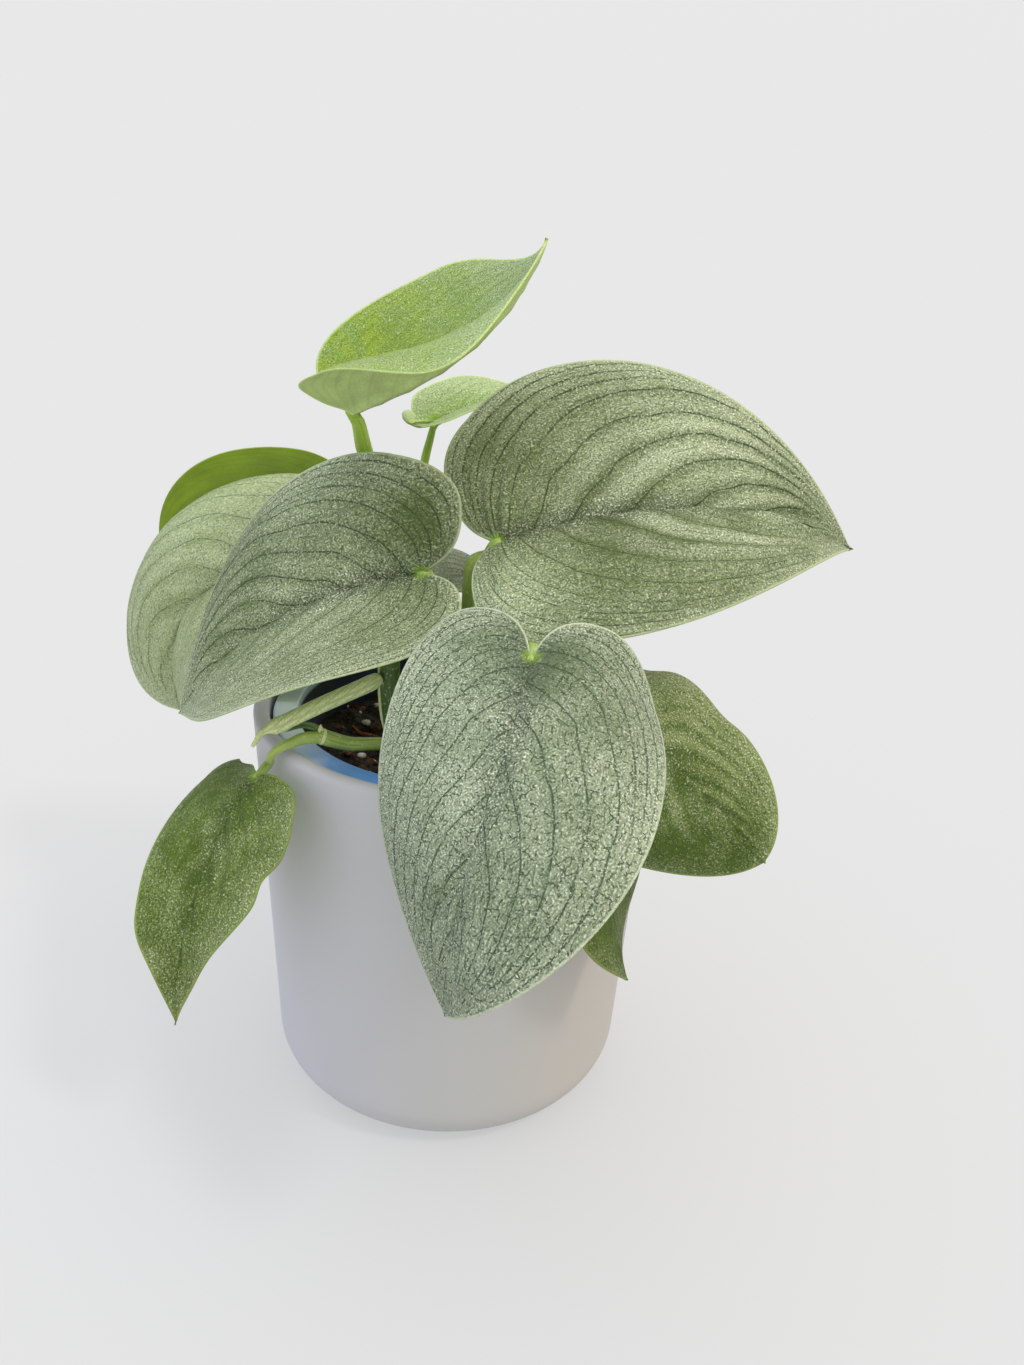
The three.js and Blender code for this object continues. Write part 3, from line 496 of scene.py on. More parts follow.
def moulded_blue(name):
    """Light blue polypropylene off the mould, with painted light making it paler toward the left
    and painted shade darkening it nearly black inside, below the lip. Its grain is drawn at 0.8 mm
    so that it shows."""
    material, add = new_material(name)
    place = add((), **PLACE)
    across, _, up = add((place,), **PARTS).node.outputs
    drift = add({"Vector": place, "Scale": 1 / (9 * MM), "Detail": 3.0}, **NOISE)
    grain = add({"Vector": place, "Scale": 1 / (0.8 * MM), "Detail": 2.0}, **NOISE)
    amount = add((drift, 0.3, 0.7, 0, 1), **STEP)
    across = add((drift, 16 * MM, across), **TIMES_PLUS)
    # Painted light: a pale wash over the left side, standing in for the brighter light its lip
    # catches there
    painted_light_left = add((across, -46 * MM, -30 * MM, 0.95, 0), **STEP)
    level = add((place, tuple(-MM * c for c in NURSERY_CENTRE) + (0,)), **V_PLUS)
    level = add((level, (1, 1, 0)), **V_TIMES)
    from_centre = add((level,), **LENGTH)
    inside = add((from_centre, 57 * MM, 58 * MM, 1, 0), **STEP)
    # Painted shade: inside, below the lip, the wall is darkened nearly black where it lies in
    # shade; damp and dry are only the heights between which this painted shade fades out
    damp, dry = (NURSERY_TOP - 3.4) * MM, (NURSERY_TOP - 1.6) * MM
    below_lip = add((up, damp, dry, 1, 0), **STEP)
    painted_inner_shade = add((add((inside, below_lip), **TIMES), 0.94), **TIMES)
    coats = (amount, "#6aa8f2"), (painted_light_left, "#e0eef8"), (painted_inner_shade, "#14191a")
    rough = add((grain, 0.3, 0.7, 0.36, 0.46), **STEP)
    return surfaced(material, "#5a9cee", coats, rough, 0.5, grain, 0.03 * MM, 0.5)


def peat_mix(name):
    """Moist peat and bark fines, in lumps of 4 mm and crumbs of 1.6 mm: nearly black, with
    reddish-brown fibres and damp glints."""
    material, add = new_material(name)
    place = add((), **PLACE)
    lumps = add({"Vector": place, "Scale": 1 / (4 * MM), "Detail": 6.0,
                             "Roughness": 0.65}, **NOISE)
    crumbs = add({"Vector": place, "Scale": 1 / (1.6 * MM)}, "TexVoronoi")
    amount = add((lumps, 0.35, 0.7, 0, 1), **STEP)
    brown = add((crumbs, 0.0, 0.35, 0.35, 0), **STEP)
    coats = (amount, "#34251c"), (brown, "#543a2c")
    height = add((add((lumps, 1.5), **TIMES), crumbs), **MINUS)
    rough = add((lumps, 0.4, 0.6, 0.6, 0.9), **STEP)
    return surfaced(material, "#120d0b", coats, rough, 0.4, height, 1.0 * MM, 1.0)


def crumb(name, colour_a, colour_b, size, roughness):
    """Perlite, composted bark or dead root, as it broke: porous or fibrous, so matt and mottled
    at its own size."""
    material, add = new_material(name)
    place = add((), **PLACE)
    mottle = add({"Vector": place, "Scale": 1 / (size * MM), "Detail": 4.0}, **NOISE)
    amount = add((mottle, 0.35, 0.65, 0, 1), **STEP)
    coats = ((amount, colour_b),)
    return surfaced(material, colour_a, coats, roughness, 0.3, mottle, 0.4 * MM, 0.8)


def light_table(name):
    """Opal acrylic, cast smooth and lit from below: an even pale grey that keeps shadows faint."""
    material, add = new_material(name)
    surface = add({
        "Base Color": linear(TABLE_COLOUR), "Roughness": 1.0, "Specular IOR Level": 0.0,
        "Emission Color": linear(TABLE_GLOW_COLOUR), "Emission Strength": TABLE_GLOW},
        "BsdfPrincipled")
    add((surface,), "OutputMaterial")
    return material


# Blades

def cubic(a, b, c, d, t):
    """A point of the cubic curve from a to d with handles b and c."""
    s = 1 - t
    terms = [(s ** 3, a), (3 * s * s * t, b), (3 * s * t * t, c), (t ** 3, d)]
    return tuple(sum(w * p[k] for w, p in terms) for k in (0, 1))


def half_outline(leaf, side):
    """Flat outline of one half in three curves: round the lobe, out to the widest place and on to
    the tip. The plain shares here set their handles."""
    widest, full, lean, tuck = leaf["shape"]
    lobe, length, half = leaf["lobe"], leaf["length"], leaf["width"] / 2 * (1 + side * lean)
    wide = widest * length
    curves = [
        ((0, 0), (-0.5 * lobe, tuck * half), (-lobe, (tuck + 0.08) * half), (-lobe, 0.45 * half)),
        ((-lobe, 0.45 * half), (-lobe, 0.8 * half), (wide - 0.55 * (wide + lobe), half),
         (wide, half)),
        ((wide, half), (wide + 0.42 * (length - wide), half),
         (leaf["fore"] * length, 2 * full * half), (length, 0)),
    ]
    points = []
    for i in range(ROWS + 1):
        step = i * sum(OUTLINE_ROWS) / ROWS
        for curve, count in zip(curves, OUTLINE_ROWS):
            if step <= count + 1e-9:
                break
            step -= count
        points.append(cubic(*curve, min(step / count, 1)))
    points = np.array(points)
    q = np.linspace(0, 1, ROWS + 1)
    for dent_side, place, depth, spread in leaf["dents"]:
        if dent_side == side:
            points[:, 1] *= 1 - depth * np.exp(-((q - place) / spread) ** 2)
    return points


def blade_axes(leaf, x):
    """Axes at distance x from the notch: along the midrib, to its left, and up."""
    ahead = np.maximum(x / leaf["length"], 0)
    behind = np.maximum(-x / leaf["lobe"], 0)
    (heading, pitch, roll), (bend, sway, twist) = leaf["turn"], leaf["curve"]
    heading = np.radians(heading + sway * ahead)
    pitch = np.radians(pitch - bend * ahead ** BEND_LATE + leaf["drop"] * behind)
    roll = np.radians(roll + twist * ahead)
    level = np.stack([-np.sin(heading), np.cos(heading), 0 * heading], -1)
    along = np.stack([np.cos(pitch) * np.cos(heading), np.cos(pitch) * np.sin(heading),
                      np.sin(pitch)], -1)
    lift = np.cross(along, level)
    left = level * np.cos(roll)[..., None] + lift * np.sin(roll)[..., None]
    return along, left, np.cross(along, left)


def midrib(leaf):
    """The midrib's place as a function of the distance from the notch."""
    length, past_lobe = leaf["length"], PAST_LOBE * leaf["lobe"]
    last_ahead, last_behind = STEPS_AHEAD - 1, STEPS_BEHIND - 1

    def walk(end, count):
        middles = end * (np.arange(count) + 0.5) / count
        steps = blade_axes(leaf, middles)[0] * end / count
        return np.vstack([np.zeros(3), np.cumsum(steps, 0)]) + np.array(leaf["at"], float)

    ahead, behind = walk(length, STEPS_AHEAD), walk(-past_lobe, STEPS_BEHIND)

    def place(x):
        f = np.where(x < 0, -STEPS_BEHIND * x / past_lobe, STEPS_AHEAD * x / length)
        i = np.minimum(f.astype(int), np.where(x < 0, last_behind, last_ahead))
        part = (f - i)[..., None]
        k, m = np.minimum(i, last_ahead), np.minimum(i, last_behind)
        run_ahead = lerp(ahead[k], ahead[k + 1], part)
        run_behind = lerp(behind[m], behind[m + 1], part)
        return np.where((x < 0)[..., None], run_behind, run_ahead)
    return place


def blade_point(leaf, spine, x, y, side):
    """A point of the middle surface: x along the midrib, y across it."""
    _, left, up = blade_axes(leaf, x)
    k = 0 if side > 0 else 1
    u = np.clip(x / leaf["length"], 0, 1)
    fold = np.radians(lerp(leaf["fold"][k], leaf["fold_tip"], u ** leaf["hold"]))
    curl = radians(leaf["arch"][k]) / (leaf["width"] / 2)
    across = (np.sin(fold) - np.sin(fold - curl * y)) / curl
    rise = (np.cos(fold - curl * y) - np.cos(fold)) / curl
    return spine(x) + left * (across * side)[..., None] + up * rise[..., None]


def vein_field(q, t):
    """Where each point lies between the veins, counted at the midrib from the notch. A vein leaves
    the midrib at q0, curves out and runs on toward the tip, and q0 is found by halving. Those of
    the lobe start below 0, as if the midrib ran on behind the notch."""
    low, high = np.full_like(q, -4.0), np.minimum(q, 0.999)
    for _ in range(40):
        q0 = (low + high) / 2
        reach = np.where(q0 > 0, 1 - 0.85 * q0, 1 - 0.06 * q0)
        s = np.clip((q - q0) / (1 - q0), 0, 1)
        past = reach * (1 - (1 - s) ** 2.4) ** 1.25 > t
        low, high = np.where(past, q0, low), np.where(past, high, q0)
    return np.where(q0 > 0, SIDE_VEINS * q0, SIDE_VEINS * q0 / (1 - 0.9 * q0))


def margin_distance(points, outline):
    """Shortest distance from each flat point to the outline."""
    best = np.full(len(points), 1e9)
    for a, b in zip(outline[:-1], outline[1:]):
        ab = b - a
        s = np.clip(((points - a) @ ab) / max(ab @ ab, 1e-9), 0, 1)
        best = np.minimum(best, np.linalg.norm(points - a - s[:, None] * ab, axis=1))
    return best


def bump(distance, size):
    """A rounded rise of the given height and width, at a distance from its middle."""
    height, width = size
    return height * np.exp(-(distance / width) ** 2)


def blade_half(leaf, spine, side, seed):
    """Upper and lower places and the pattern values of one half, row by column. The rows crowd
    at the notch, and the columns at the midrib and at the margin."""
    q = np.linspace(0, 1, ROWS + 1)[:, None] * np.ones(COLUMNS + 1)
    tau = np.linspace(0, 1, COLUMNS + 1)
    t = (0.5 * tau + 0.25 * (1 - np.cos(np.pi * tau)))[None, :] * np.ones_like(q)
    outline = half_outline(leaf, side)
    rib = leaf["length"] * q ** 1.5
    x = lerp(rib, outline[:, :1], t)
    y = outline[:, 1:] * t
    to_point = partial(blade_point, leaf, spine)
    middle = to_point(x, y, side)
    e = 0.5
    dx = to_point(x + e, y, side) - to_point(x - e, y, side)
    dy = to_point(x, y + e, side) - to_point(x, np.maximum(y - e, 0), side)
    normal = np.cross(dx, dy) * side
    normal /= np.linalg.norm(normal, axis=-1, keepdims=True)
    normal[:, 0] = blade_axes(leaf, x[:, 0])[2]

    height, waves, phase = leaf["ripple"][0 if side > 0 else 1]
    lift = height * t ** 3 * np.sin(2 * np.pi * (waves * q + phase)) * np.sin(np.pi * q)

    # The space between veins, from how fast their count changes over the flat blade. The left
    # half's veins are shifted against the right half's
    vein = vein_field(q, t) + (0.4 if side > 0 else 0)
    vein_q, x_q, y_q = (np.gradient(a, axis=0) for a in (vein, x, y))
    vein_t, x_t, y_t = (np.gradient(a, axis=1) for a in (vein, x, y))
    det = x_q * y_t - x_t * y_q
    det = np.where(np.abs(det) < 1e-4, 1e-4, det)
    slope_x = (vein_q * y_t - vein_t * y_q) / det
    slope_y = (vein_t * x_q - vein_q * x_t) / det
    pitch = np.clip(1 / np.maximum(np.hypot(slope_x, slope_y), 1e-3), 0.5, 14)

    # Quilting: the blade swells between veins, more in some strips than in others
    draw = random.Random(seed)
    swell = np.array([SWELL_LEAST + SWELL_MORE * draw.random() for _ in range(STRIPS)])
    strip = np.floor(vein).astype(int) % STRIPS
    part = vein - np.floor(vein)
    ease = np.clip(pitch / 5, 0, 1) * np.clip((1 - t) * 6, 0, 1) * np.clip(q * 8, 0, 1)
    lift = lift + leaf["quilt"] * swell[strip] * np.sin(np.pi * part) ** 1.5 * ease
    taper = np.clip(1 - rib / leaf["length"], 0, 1)
    lift = lift - bump(y, CHANNEL) * taper

    thick = BLADE_HALF_THICKNESS * lerp(1.0, 0.6, np.clip((t - 0.9) * 10, 0, 1))
    keel = bump(y, KEEL) * taper ** 0.7
    ridge = bump(np.minimum(part, 1 - part) * pitch, RIDGE) * np.clip((1 - t) * 4, 0, 1)
    for field in (lift, keel, ridge):
        field[0] = field[0, 0]
        field[-1] = field[-1, 0]
    upper = middle + normal * (lift + thick)[..., None]
    lower = middle + normal * (lift - thick - keel - ridge)[..., None]
    flat = np.stack([x, y * side, np.clip(x / leaf["length"], 0, 1)], -1)
    points = np.stack([x, y], -1).reshape(-1, 2)
    margin = margin_distance(points, outline).reshape(x.shape)
    place = np.stack([vein + STRIPS, pitch, margin], -1)
    return upper, lower, flat, place


def tone_and_habit(leaf, x, y, u):
    """Two colours that a point of the flat blade carries: its bloom, light and lime, and how its
    swellings, veins and net show."""
    silver, light, lime = leaf["tone"]
    more_left, more_ahead = leaf["drift"]
    # drift adds bloom toward the left margin and the tip, partly painted light where that side
    # looks lit
    silver += more_left * 2 * y / leaf["width"] + more_ahead * u
    # Spots of painted highlight and painted shade over partly real bloom: each adds bloom and
    # lightness
    for near_x, near_y, wide, bloom, pale in leaf["painted_light_spots"]:
        near = exp(-((x - near_x) ** 2 + (y - near_y) ** 2) / wide ** 2)
        silver += bloom * near
        light += pale * near
    return Vector((silver, light, lime * (1 - LIME_LOSS * u))), Vector(leaf["habit"])


def blade(name, leaf, materials, seed):
    """A closed blade from one grid: its upper face, a copy for the underside, and the rim."""
    spine = midrib(leaf)
    halves = {side: blade_half(leaf, spine, side, seed + side) for side in (1, -1)}
    bm = bmesh.new()
    bmesh.ops.create_grid(bm, x_segments=ROWS, y_segments=2 * COLUMNS, size=1)
    for attribute in ("flat", "vein_place", "tone", "habit"):
        bm.verts.layers.float_vector.new(attribute)
    spot = bm.verts.layers.int.new("spot")
    flat, place, tone, habit = bm.verts.layers.float_vector.values()
    where = []
    for vert in bm.verts:
        i = round((vert.co.x + 1) / 2 * ROWS)
        j = round(vert.co.y * COLUMNS)
        half = halves[1 if j >= 0 else -1]
        vert[spot] = len(where)
        where.append((half, i, abs(j)))
        vert.co = Vector(half[0][i, abs(j)] * MM)
        vert[flat] = Vector(half[2][i, abs(j)])
        vert[place] = Vector(half[3][i, abs(j)])
        vert[tone], vert[habit] = tone_and_habit(leaf, *vert[flat])
    bmesh.ops.remove_doubles(bm, verts=bm.verts, dist=1e-7)
    upper = bm.faces[:]
    copy = bmesh.ops.duplicate(bm, geom=bm.verts[:] + bm.edges[:] + upper)["geom"]
    below = [g for g in copy if isinstance(g, bmesh.types.BMFace)]
    bmesh.ops.reverse_faces(bm, faces=below)
    for vert in copy:
        if isinstance(vert, bmesh.types.BMVert):
            half, i, j = where[vert[spot]]
            vert.co = Vector(half[1][i, j] * MM)
    for face in below:
        face.material_index = 1
    bmesh.ops.bridge_loops(bm, edges=[edge for edge in bm.edges if edge.is_boundary])
    bm.verts.layers.int.remove(spot)
    return finished(bm, name, materials)


# Round rods and other swept pieces

ROUND = [1.0] * 16
# A petiole's section, flattened and grooved along its upper side
GROOVED = [1 - 0.3 * exp(-((k - 8) / 1.6) ** 2) + 0.05 * cos(2 * pi * k / 16)
           for k in range(16)]
# A flat oval, and the rolled leaf's section with its step where the outer turn ends
FLAT = [1 / hypot(cos(pi * k / 8), sin(pi * k / 8) / 0.28)
        for k in range(16)]
ROLLED = [lerp(1.02, 1.2, k / 27) for k in range(28)]
# Where a section's first point looks, as nearly as the path lets it
SIDEWAYS = (0.31, 0.95, 0.05)


def next_ring(bm, edges):
    """Extrudes a ring of edges once, and gives the new ring's vertices and edges."""
    geom = bmesh.ops.extrude_edge_only(bm, edges=edges)["geom"]
    verts = [g for g in geom if isinstance(g, bmesh.types.BMVert)]
    return verts, [g for g in geom if isinstance(g, bmesh.types.BMEdge)
                   and g.verts[0] in verts and g.verts[1] in verts]


def smooth_path(path, rings):
    """Evenly spaced points on a smooth curve through the path, as part.mjs lays it."""
    points = [Vector(p) for p in path]
    ends = [2 * points[0] - points[1], *points, 2 * points[-1] - points[-2]]
    fine = []
    for four in zip(ends, ends[1:], ends[2:], ends[3:]):
        knots = [0]
        for a, b in zip(four, four[1:]):
            knots.append(knots[-1] + max((b - a).length, 1e-4) ** 0.5)
        for i in range(16):
            k, row = lerp(knots[1], knots[2], i / 16), four
            for start, span in ((0, 1), (0, 2), (1, 1)):
                row = [a.lerp(b, (k - low) / (high - low)) for a, b, low, high
                       in zip(row, row[1:], knots[start:], knots[start + span:])]
            fine += row
    fine.append(points[-1])
    lengths = np.concatenate([[0], np.cumsum([(b - a).length for a, b in zip(fine, fine[1:])])])
    even = np.linspace(0, lengths[-1], rings + 1)
    table = np.array([tuple(p) for p in fine])
    places = np.stack([np.interp(even, lengths, table[:, k]) for k in range(3)], -1)
    return [Vector(p) for p in places], even


def spaced(radii):
    """Radii spread evenly along a path, as pairs of share and radius."""
    return [(k / (len(radii) - 1), radius) for k, radius in enumerate(radii)]


def sweep(bm, path, radii, section, rings, across=SIDEWAYS):
    """Sweeps a closed section along a path, one extruded ring at a time, and caps both ends.
    radii holds pairs of share along the path and radius, and section gives its reach at each
    of its points, as a share of the radius."""
    run = bm.verts.layers.float_vector.get("run") or bm.verts.layers.float_vector.new("run")
    places, lengths = smooth_path(path, rings)
    across = Vector(across)
    frames = []
    for i, centre in enumerate(places):
        ahead = (places[min(i + 1, rings)] - places[max(i - 1, 0)]).normalized()
        across = (across - ahead * across.dot(ahead)).normalized()
        other = ahead.cross(across)
        radius = float(np.interp(i / rings, *zip(*radii)))
        turn = Matrix((across, other, ahead)).transposed().to_4x4()
        frames.append(Matrix.Translation(centre) @ turn @ Matrix.Scale(radius, 4))
    start = bmesh.ops.create_circle(bm, cap_ends=True, segments=len(section), radius=1.0)["verts"]
    start.sort(key=lambda vert: atan2(vert.co.y, vert.co.x))
    mean = sum(radius for _, radius in radii) / len(radii)
    for k, (vert, reach) in enumerate(zip(start, section)):
        vert.co = vert.co * reach
        vert[run] = Vector((2 * pi * mean * k / len(section), 0, 0))
    edges = list({edge for vert in start for edge in vert.link_edges})
    bmesh.ops.transform(bm, matrix=frames[0], verts=start)
    made = list(start)
    for i in range(1, rings + 1):
        verts, edges = next_ring(bm, edges)
        bmesh.ops.transform(bm, matrix=frames[i] @ frames[i - 1].inverted(), verts=verts)
        for vert in verts:
            vert[run] = Vector((vert[run].x, lengths[i], 0))
        made += verts
    cap = bmesh.ops.contextual_create(bm, geom=edges)["faces"]
    faces = list({face for vert in made for face in vert.link_faces} | set(cap))
    bmesh.ops.recalc_face_normals(bm, faces=faces)


def shrunk(bm):
    """Millimetres to metres, at the very end of a piece."""
    bmesh.ops.scale(bm, vec=(MM, MM, MM), verts=bm.verts)


def rod(name, material, path, radii, section=ROUND, across=SIDEWAYS, rings=16):
    """A piece swept along one path."""
    bm = bmesh.new()
    sweep(bm, path, radii, section, rings, across)
    shrunk(bm)
    return finished(bm, name, [material])


def petiole_end(leaf):
    """The last points of a petiole, up to the joint in the blade's notch."""
    along, _, up = [Vector(a[0]) for a in blade_axes(leaf, np.zeros(1))]
    below, behind = leaf["arrive"]
    tip = Vector(leaf["at"]) - leaf["seat"] * up - 1.1 * along
    before = tip - below * up - behind * along
    return [before, tip, Vector(leaf["at"]) - 0.75 * up + 1.6 * along]


def stem(name, spec, material):
    """A stem and its petioles, each a tube of its own grown out of the stem. A petiole is thicker
    where it leaves the stem and again under its blade."""
    bm = bmesh.new()
    sweep(bm, spec["path"], spaced(spec["radius"]), ROUND, 40)
    for blade_name, (low, high), via in spec["petioles"]:
        run = [Vector(p) for p in via] + petiole_end(BLADES[blade_name])
        radii = [low * 1.12, low, lerp(low, high, 0.35), lerp(low, high, 0.7), high, high * 1.02,
                 high * 1.16, high * 0.8]
        sweep(bm, run, spaced(radii), GROOVED, 48)
    shrunk(bm)
    return finished(bm, name, [material])


# Pots and potting mix

def arc(cx, cz, r, start, end, steps):
    """Points of an arc round cx, cz from the start angle to the end angle."""
    angles = [radians(lerp(start, end, i / steps)) for i in range(steps + 1)]
    return [(cx + r * cos(a), cz + r * sin(a)) for a in angles]


def spun(name, profile, centre, material):
    """A profile that starts and ends on the axis, spun once round it."""
    bm = bmesh.new()
    verts = [bm.verts.new((r * MM, 0, z * MM)) for r, z in profile]
    edges = [bm.edges.new(pair) for pair in zip(verts, verts[1:])]
    bmesh.ops.spin(bm, geom=verts + edges, cent=(0, 0, 0), axis=(0, 0, 1), angle=2 * pi,
                   steps=SPIN_STEPS, use_merge=True)
    bmesh.ops.remove_doubles(bm, verts=bm.verts, dist=1e-6)
    bmesh.ops.recalc_face_normals(bm, faces=bm.faces)
    bmesh.ops.translate(bm, vec=(centre[0] * MM, centre[1] * MM, 0), verts=bm.verts)
    return finished(bm, name, [material])


def outer_radius(z):
    return lerp(OUTER_BASE_RADIUS, OUTER_TOP_RADIUS, z / OUTER_HEIGHT)


def outer_profile():
    base, rim = OUTER_BASE_ROUNDING, OUTER_RIM_ROUNDING
    inner, rim_z = base - OUTER_WALL, OUTER_HEIGHT - rim
    heights = [lerp(base, rim_z, i / 12) for i in range(1, 12)]
    return [
        (0, 0), (20, 0),
        *arc(outer_radius(base) - base, base, base, -90, 0, 14),
        *[(outer_radius(z), z) for z in heights],
        *arc(outer_radius(rim_z) - rim, rim_z, rim, 0, 90, 8),
        *arc(outer_radius(rim_z) - OUTER_WALL + rim, rim_z, rim, 90, 180, 8),
        *[(outer_radius(z) - OUTER_WALL, z) for z in reversed(heights)],
        *arc(outer_radius(base) - OUTER_WALL - inner, OUTER_FLOOR + inner, inner, 0, -90, 8),
        (0, OUTER_FLOOR),
    ]
def nursery_wall(z):
    low = OUTER_FLOOR + GAP + NURSERY_FOOT
    share = (z - low) / (NURSERY_TOP - NURSERY_WALL - low)
    return lerp(NURSERY_BASE_RADIUS, NURSERY_NECK_RADIUS, share)


def nursery_profile():
    w, e, lip, top, r = (NURSERY_WALL, NURSERY_EDGE, NURSERY_LIP_RADIUS, NURSERY_TOP,
                         NURSERY_LIP_ROUNDING)
    low = OUTER_FLOOR + GAP
    foot, inside, hem, flat = (low + NURSERY_FOOT, top - e, top - NURSERY_LIP_DEPTH,
                               top - NURSERY_LIP_DIP)
    base = NURSERY_BASE_RADIUS - NURSERY_FOOT
    return [
        (0, low), (base, low), (nursery_wall(foot), foot),
        (nursery_wall(top - w) - 0.2, top - 2 * w), (nursery_wall(top - w), top - w),
        (lip - w - 0.3, top - w), (lip - w, top - w - 0.4), (lip - w - e, hem), (lip - e, hem),
        *arc(lip - r, top - r, r, 0, 90, 6),
        (lip - 3, flat), (lip - 4.2, flat),
        *arc(nursery_wall(inside) - w + e, top - e, e, 90, 180, 4),
        (nursery_wall(foot) - w, foot), (base - w, low + w), (0, low + w),
    ]


def soil_height(x, y):
    """Height of the mix in broad waves, highest in the middle, as part.mjs lays it."""
    wide, narrow = sin(0.23 * x + 1.1) * cos(0.19 * y - 0.4), 0.6 * sin(0.41 * y + 0.33 * x)
    return SOIL_TOP + SOIL_RELIEF * (wide + narrow) - 0.0006 * (x * x + y * y)


def soil_surface(x, y):
    """Height of the mix with its lumps and crumbs."""
    place = Vector((x, y, 0))
    lumps = SOIL_LUMP[0] * noise.noise(place / SOIL_LUMP[1])
    crumbs = SOIL_CRUMB[0] * noise.noise(place / SOIL_CRUMB[1] + Vector((9, 4, 2)))
    return soil_height(x, y) + lumps + crumbs


def potting_mix(name, material):
    """The lumpy top from a grid pressed round, with its side drawn down and closed below."""
    bm = bmesh.new()
    bmesh.ops.create_grid(bm, x_segments=SOIL_CELLS, y_segments=SOIL_CELLS, size=1)
    edge, bottom = SOIL_TOP - SOIL_EDGE_DROP, OUTER_FLOOR + GAP + NURSERY_WALL + GAP + NURSERY_FOOT
    cx, cy = NURSERY_CENTRE

    def inside(z):
        return nursery_wall(z) - NURSERY_WALL - GAP / 2

    for vert in bm.verts:
        u, v = vert.co.x, vert.co.y
        x, y = u * sqrt(1 - v * v / 2), v * sqrt(1 - u * u / 2)
        # The last 7 percent of the way out levels off to the edge
        level = min(max((hypot(x, y) - 0.93) / 0.07, 0), 1)
        x, y = cx + x * inside(edge), cy + y * inside(edge)
        vert.co = Vector((x, y, lerp(soil_surface(x, y), edge, level)))
    rim = [e for e in bm.edges if e.is_boundary]
    for above, z in zip((edge, *SOIL_LEVELS), (*SOIL_LEVELS, bottom)):
        verts, rim = next_ring(bm, rim)
        share = inside(z) / inside(above)
        bmesh.ops.scale(bm, vec=(share, share, 1), verts=verts,
                        space=Matrix.Translation((-cx, -cy, 0)))
        bmesh.ops.translate(bm, vec=(0, 0, z - above), verts=verts)
    bmesh.ops.contextual_create(bm, geom=rim)
    bmesh.ops.recalc_face_normals(bm, faces=bm.faces)
    shrunk(bm)
    return finished(bm, name, [material])


def scattered(name, material, count, size, squash, level, seed, sink):
    """Crumbs strewn over the mix: lumps of few faces, each knocked out of round."""
    draw = random.Random(seed)
    bm = bmesh.new()
    for _ in range(count):
        far, turn = STREWN_REACH * sqrt(draw.random()), 2 * pi * draw.random()
        x, y = NURSERY_CENTRE[0] + far * cos(turn), NURSERY_CENTRE[1] + far * sin(turn)
        r = lerp(size[0], size[1], draw.random() ** 2)
        made = bmesh.ops.create_icosphere(bm, subdivisions=level, radius=r)["verts"]
        offset = Vector((draw.random(), draw.random(), draw.random())) * 40
        for vert in made:
            vert.co = vert.co * (1 + 0.55 * noise.noise(vert.co / r * 0.9 + offset))
        bmesh.ops.scale(bm, vec=(1, lerp(squash, 1, draw.random()), squash), verts=made)
        turned = Matrix.Rotation(6.3 * draw.random(), 4, "Z")
        tipped = Matrix.Rotation(0.9 * draw.random(), 4, "X")
        bmesh.ops.transform(bm, matrix=turned @ tipped, verts=made)
        z = soil_surface(x, y) + r * squash * sink
        bmesh.ops.translate(bm, vec=(x, y, z), verts=made)
    shrunk(bm)
    return finished(bm, name, [material], smooth=level > 1)


# Make everything

def place_piece(piece, slot, *nodes):
    """Every piece rides on the one body; slot is not used, and nodes are what it stands for."""
    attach(piece, "root")
    if nodes:
        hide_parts(*nodes)


white_plastic = moulded_white("white_polypropylene")
blue_plastic = moulded_blue("light_blue_polypropylene")
place_piece(spun("outer_pot_white", outer_profile(), (0, 0), white_plastic), "outer_pot_plastic",
            "outer_pot")
place_piece(spun("nursery_pot_blue", nursery_profile(), NURSERY_CENTRE, blue_plastic),
            "nursery_pot_plastic", "nursery_pot")
place_piece(potting_mix("potting_mix_top", peat_mix("moist_peat_mix")), "potting_mix",
            "potting_mix")
perlite = crumb("perlite", "#e9e6df", "#c9c3b8", size=1.2, roughness=0.9)
bark = crumb("composted_bark", "#3b261a", "#6a4630", size=1.5, roughness=0.8)
place_piece(scattered("perlite_grains", perlite, count=46, size=(0.6, 1.7), squash=0.8, level=2,
                      seed=11, sink=0.3), "potting_mix")
place_piece(scattered("bark_chips", bark, count=150, size=(1.2, 3.4), squash=0.4, level=1,
                      seed=23, sink=0.25), "potting_mix")

# The back stem's brighter green is partly young growth and partly painted light, and the rolled
# leaf's stem is darkened with painted shade
usual_green = ("#75903a", "#a8bc62")
greens = {"stem_back": ("#84a630", "#b2d256"), "stem_rolled_leaf": ("#34501c", "#4d6e2a")}
for name, spec in STEMS.items():
    skin = stem_skin("waxy_" + name, *greens.get(name, usual_green))
    place_piece(stem(name + "_tube", spec, skin), "stem", name)

skins = {kind: (leaf_upper(kind + "_leaf", skin), leaf_under(kind + "_leaf_underside", skin))
         for kind, skin in SKINS.items()}
for number, (name, leaf) in enumerate(BLADES.items()):
    piece = blade(name.replace("blade", "leaf"), leaf, skins[leaf["skin"]], 100 + 10 * number)
    place_piece(piece, SKINS[leaf["skin"]]["slot"], name)

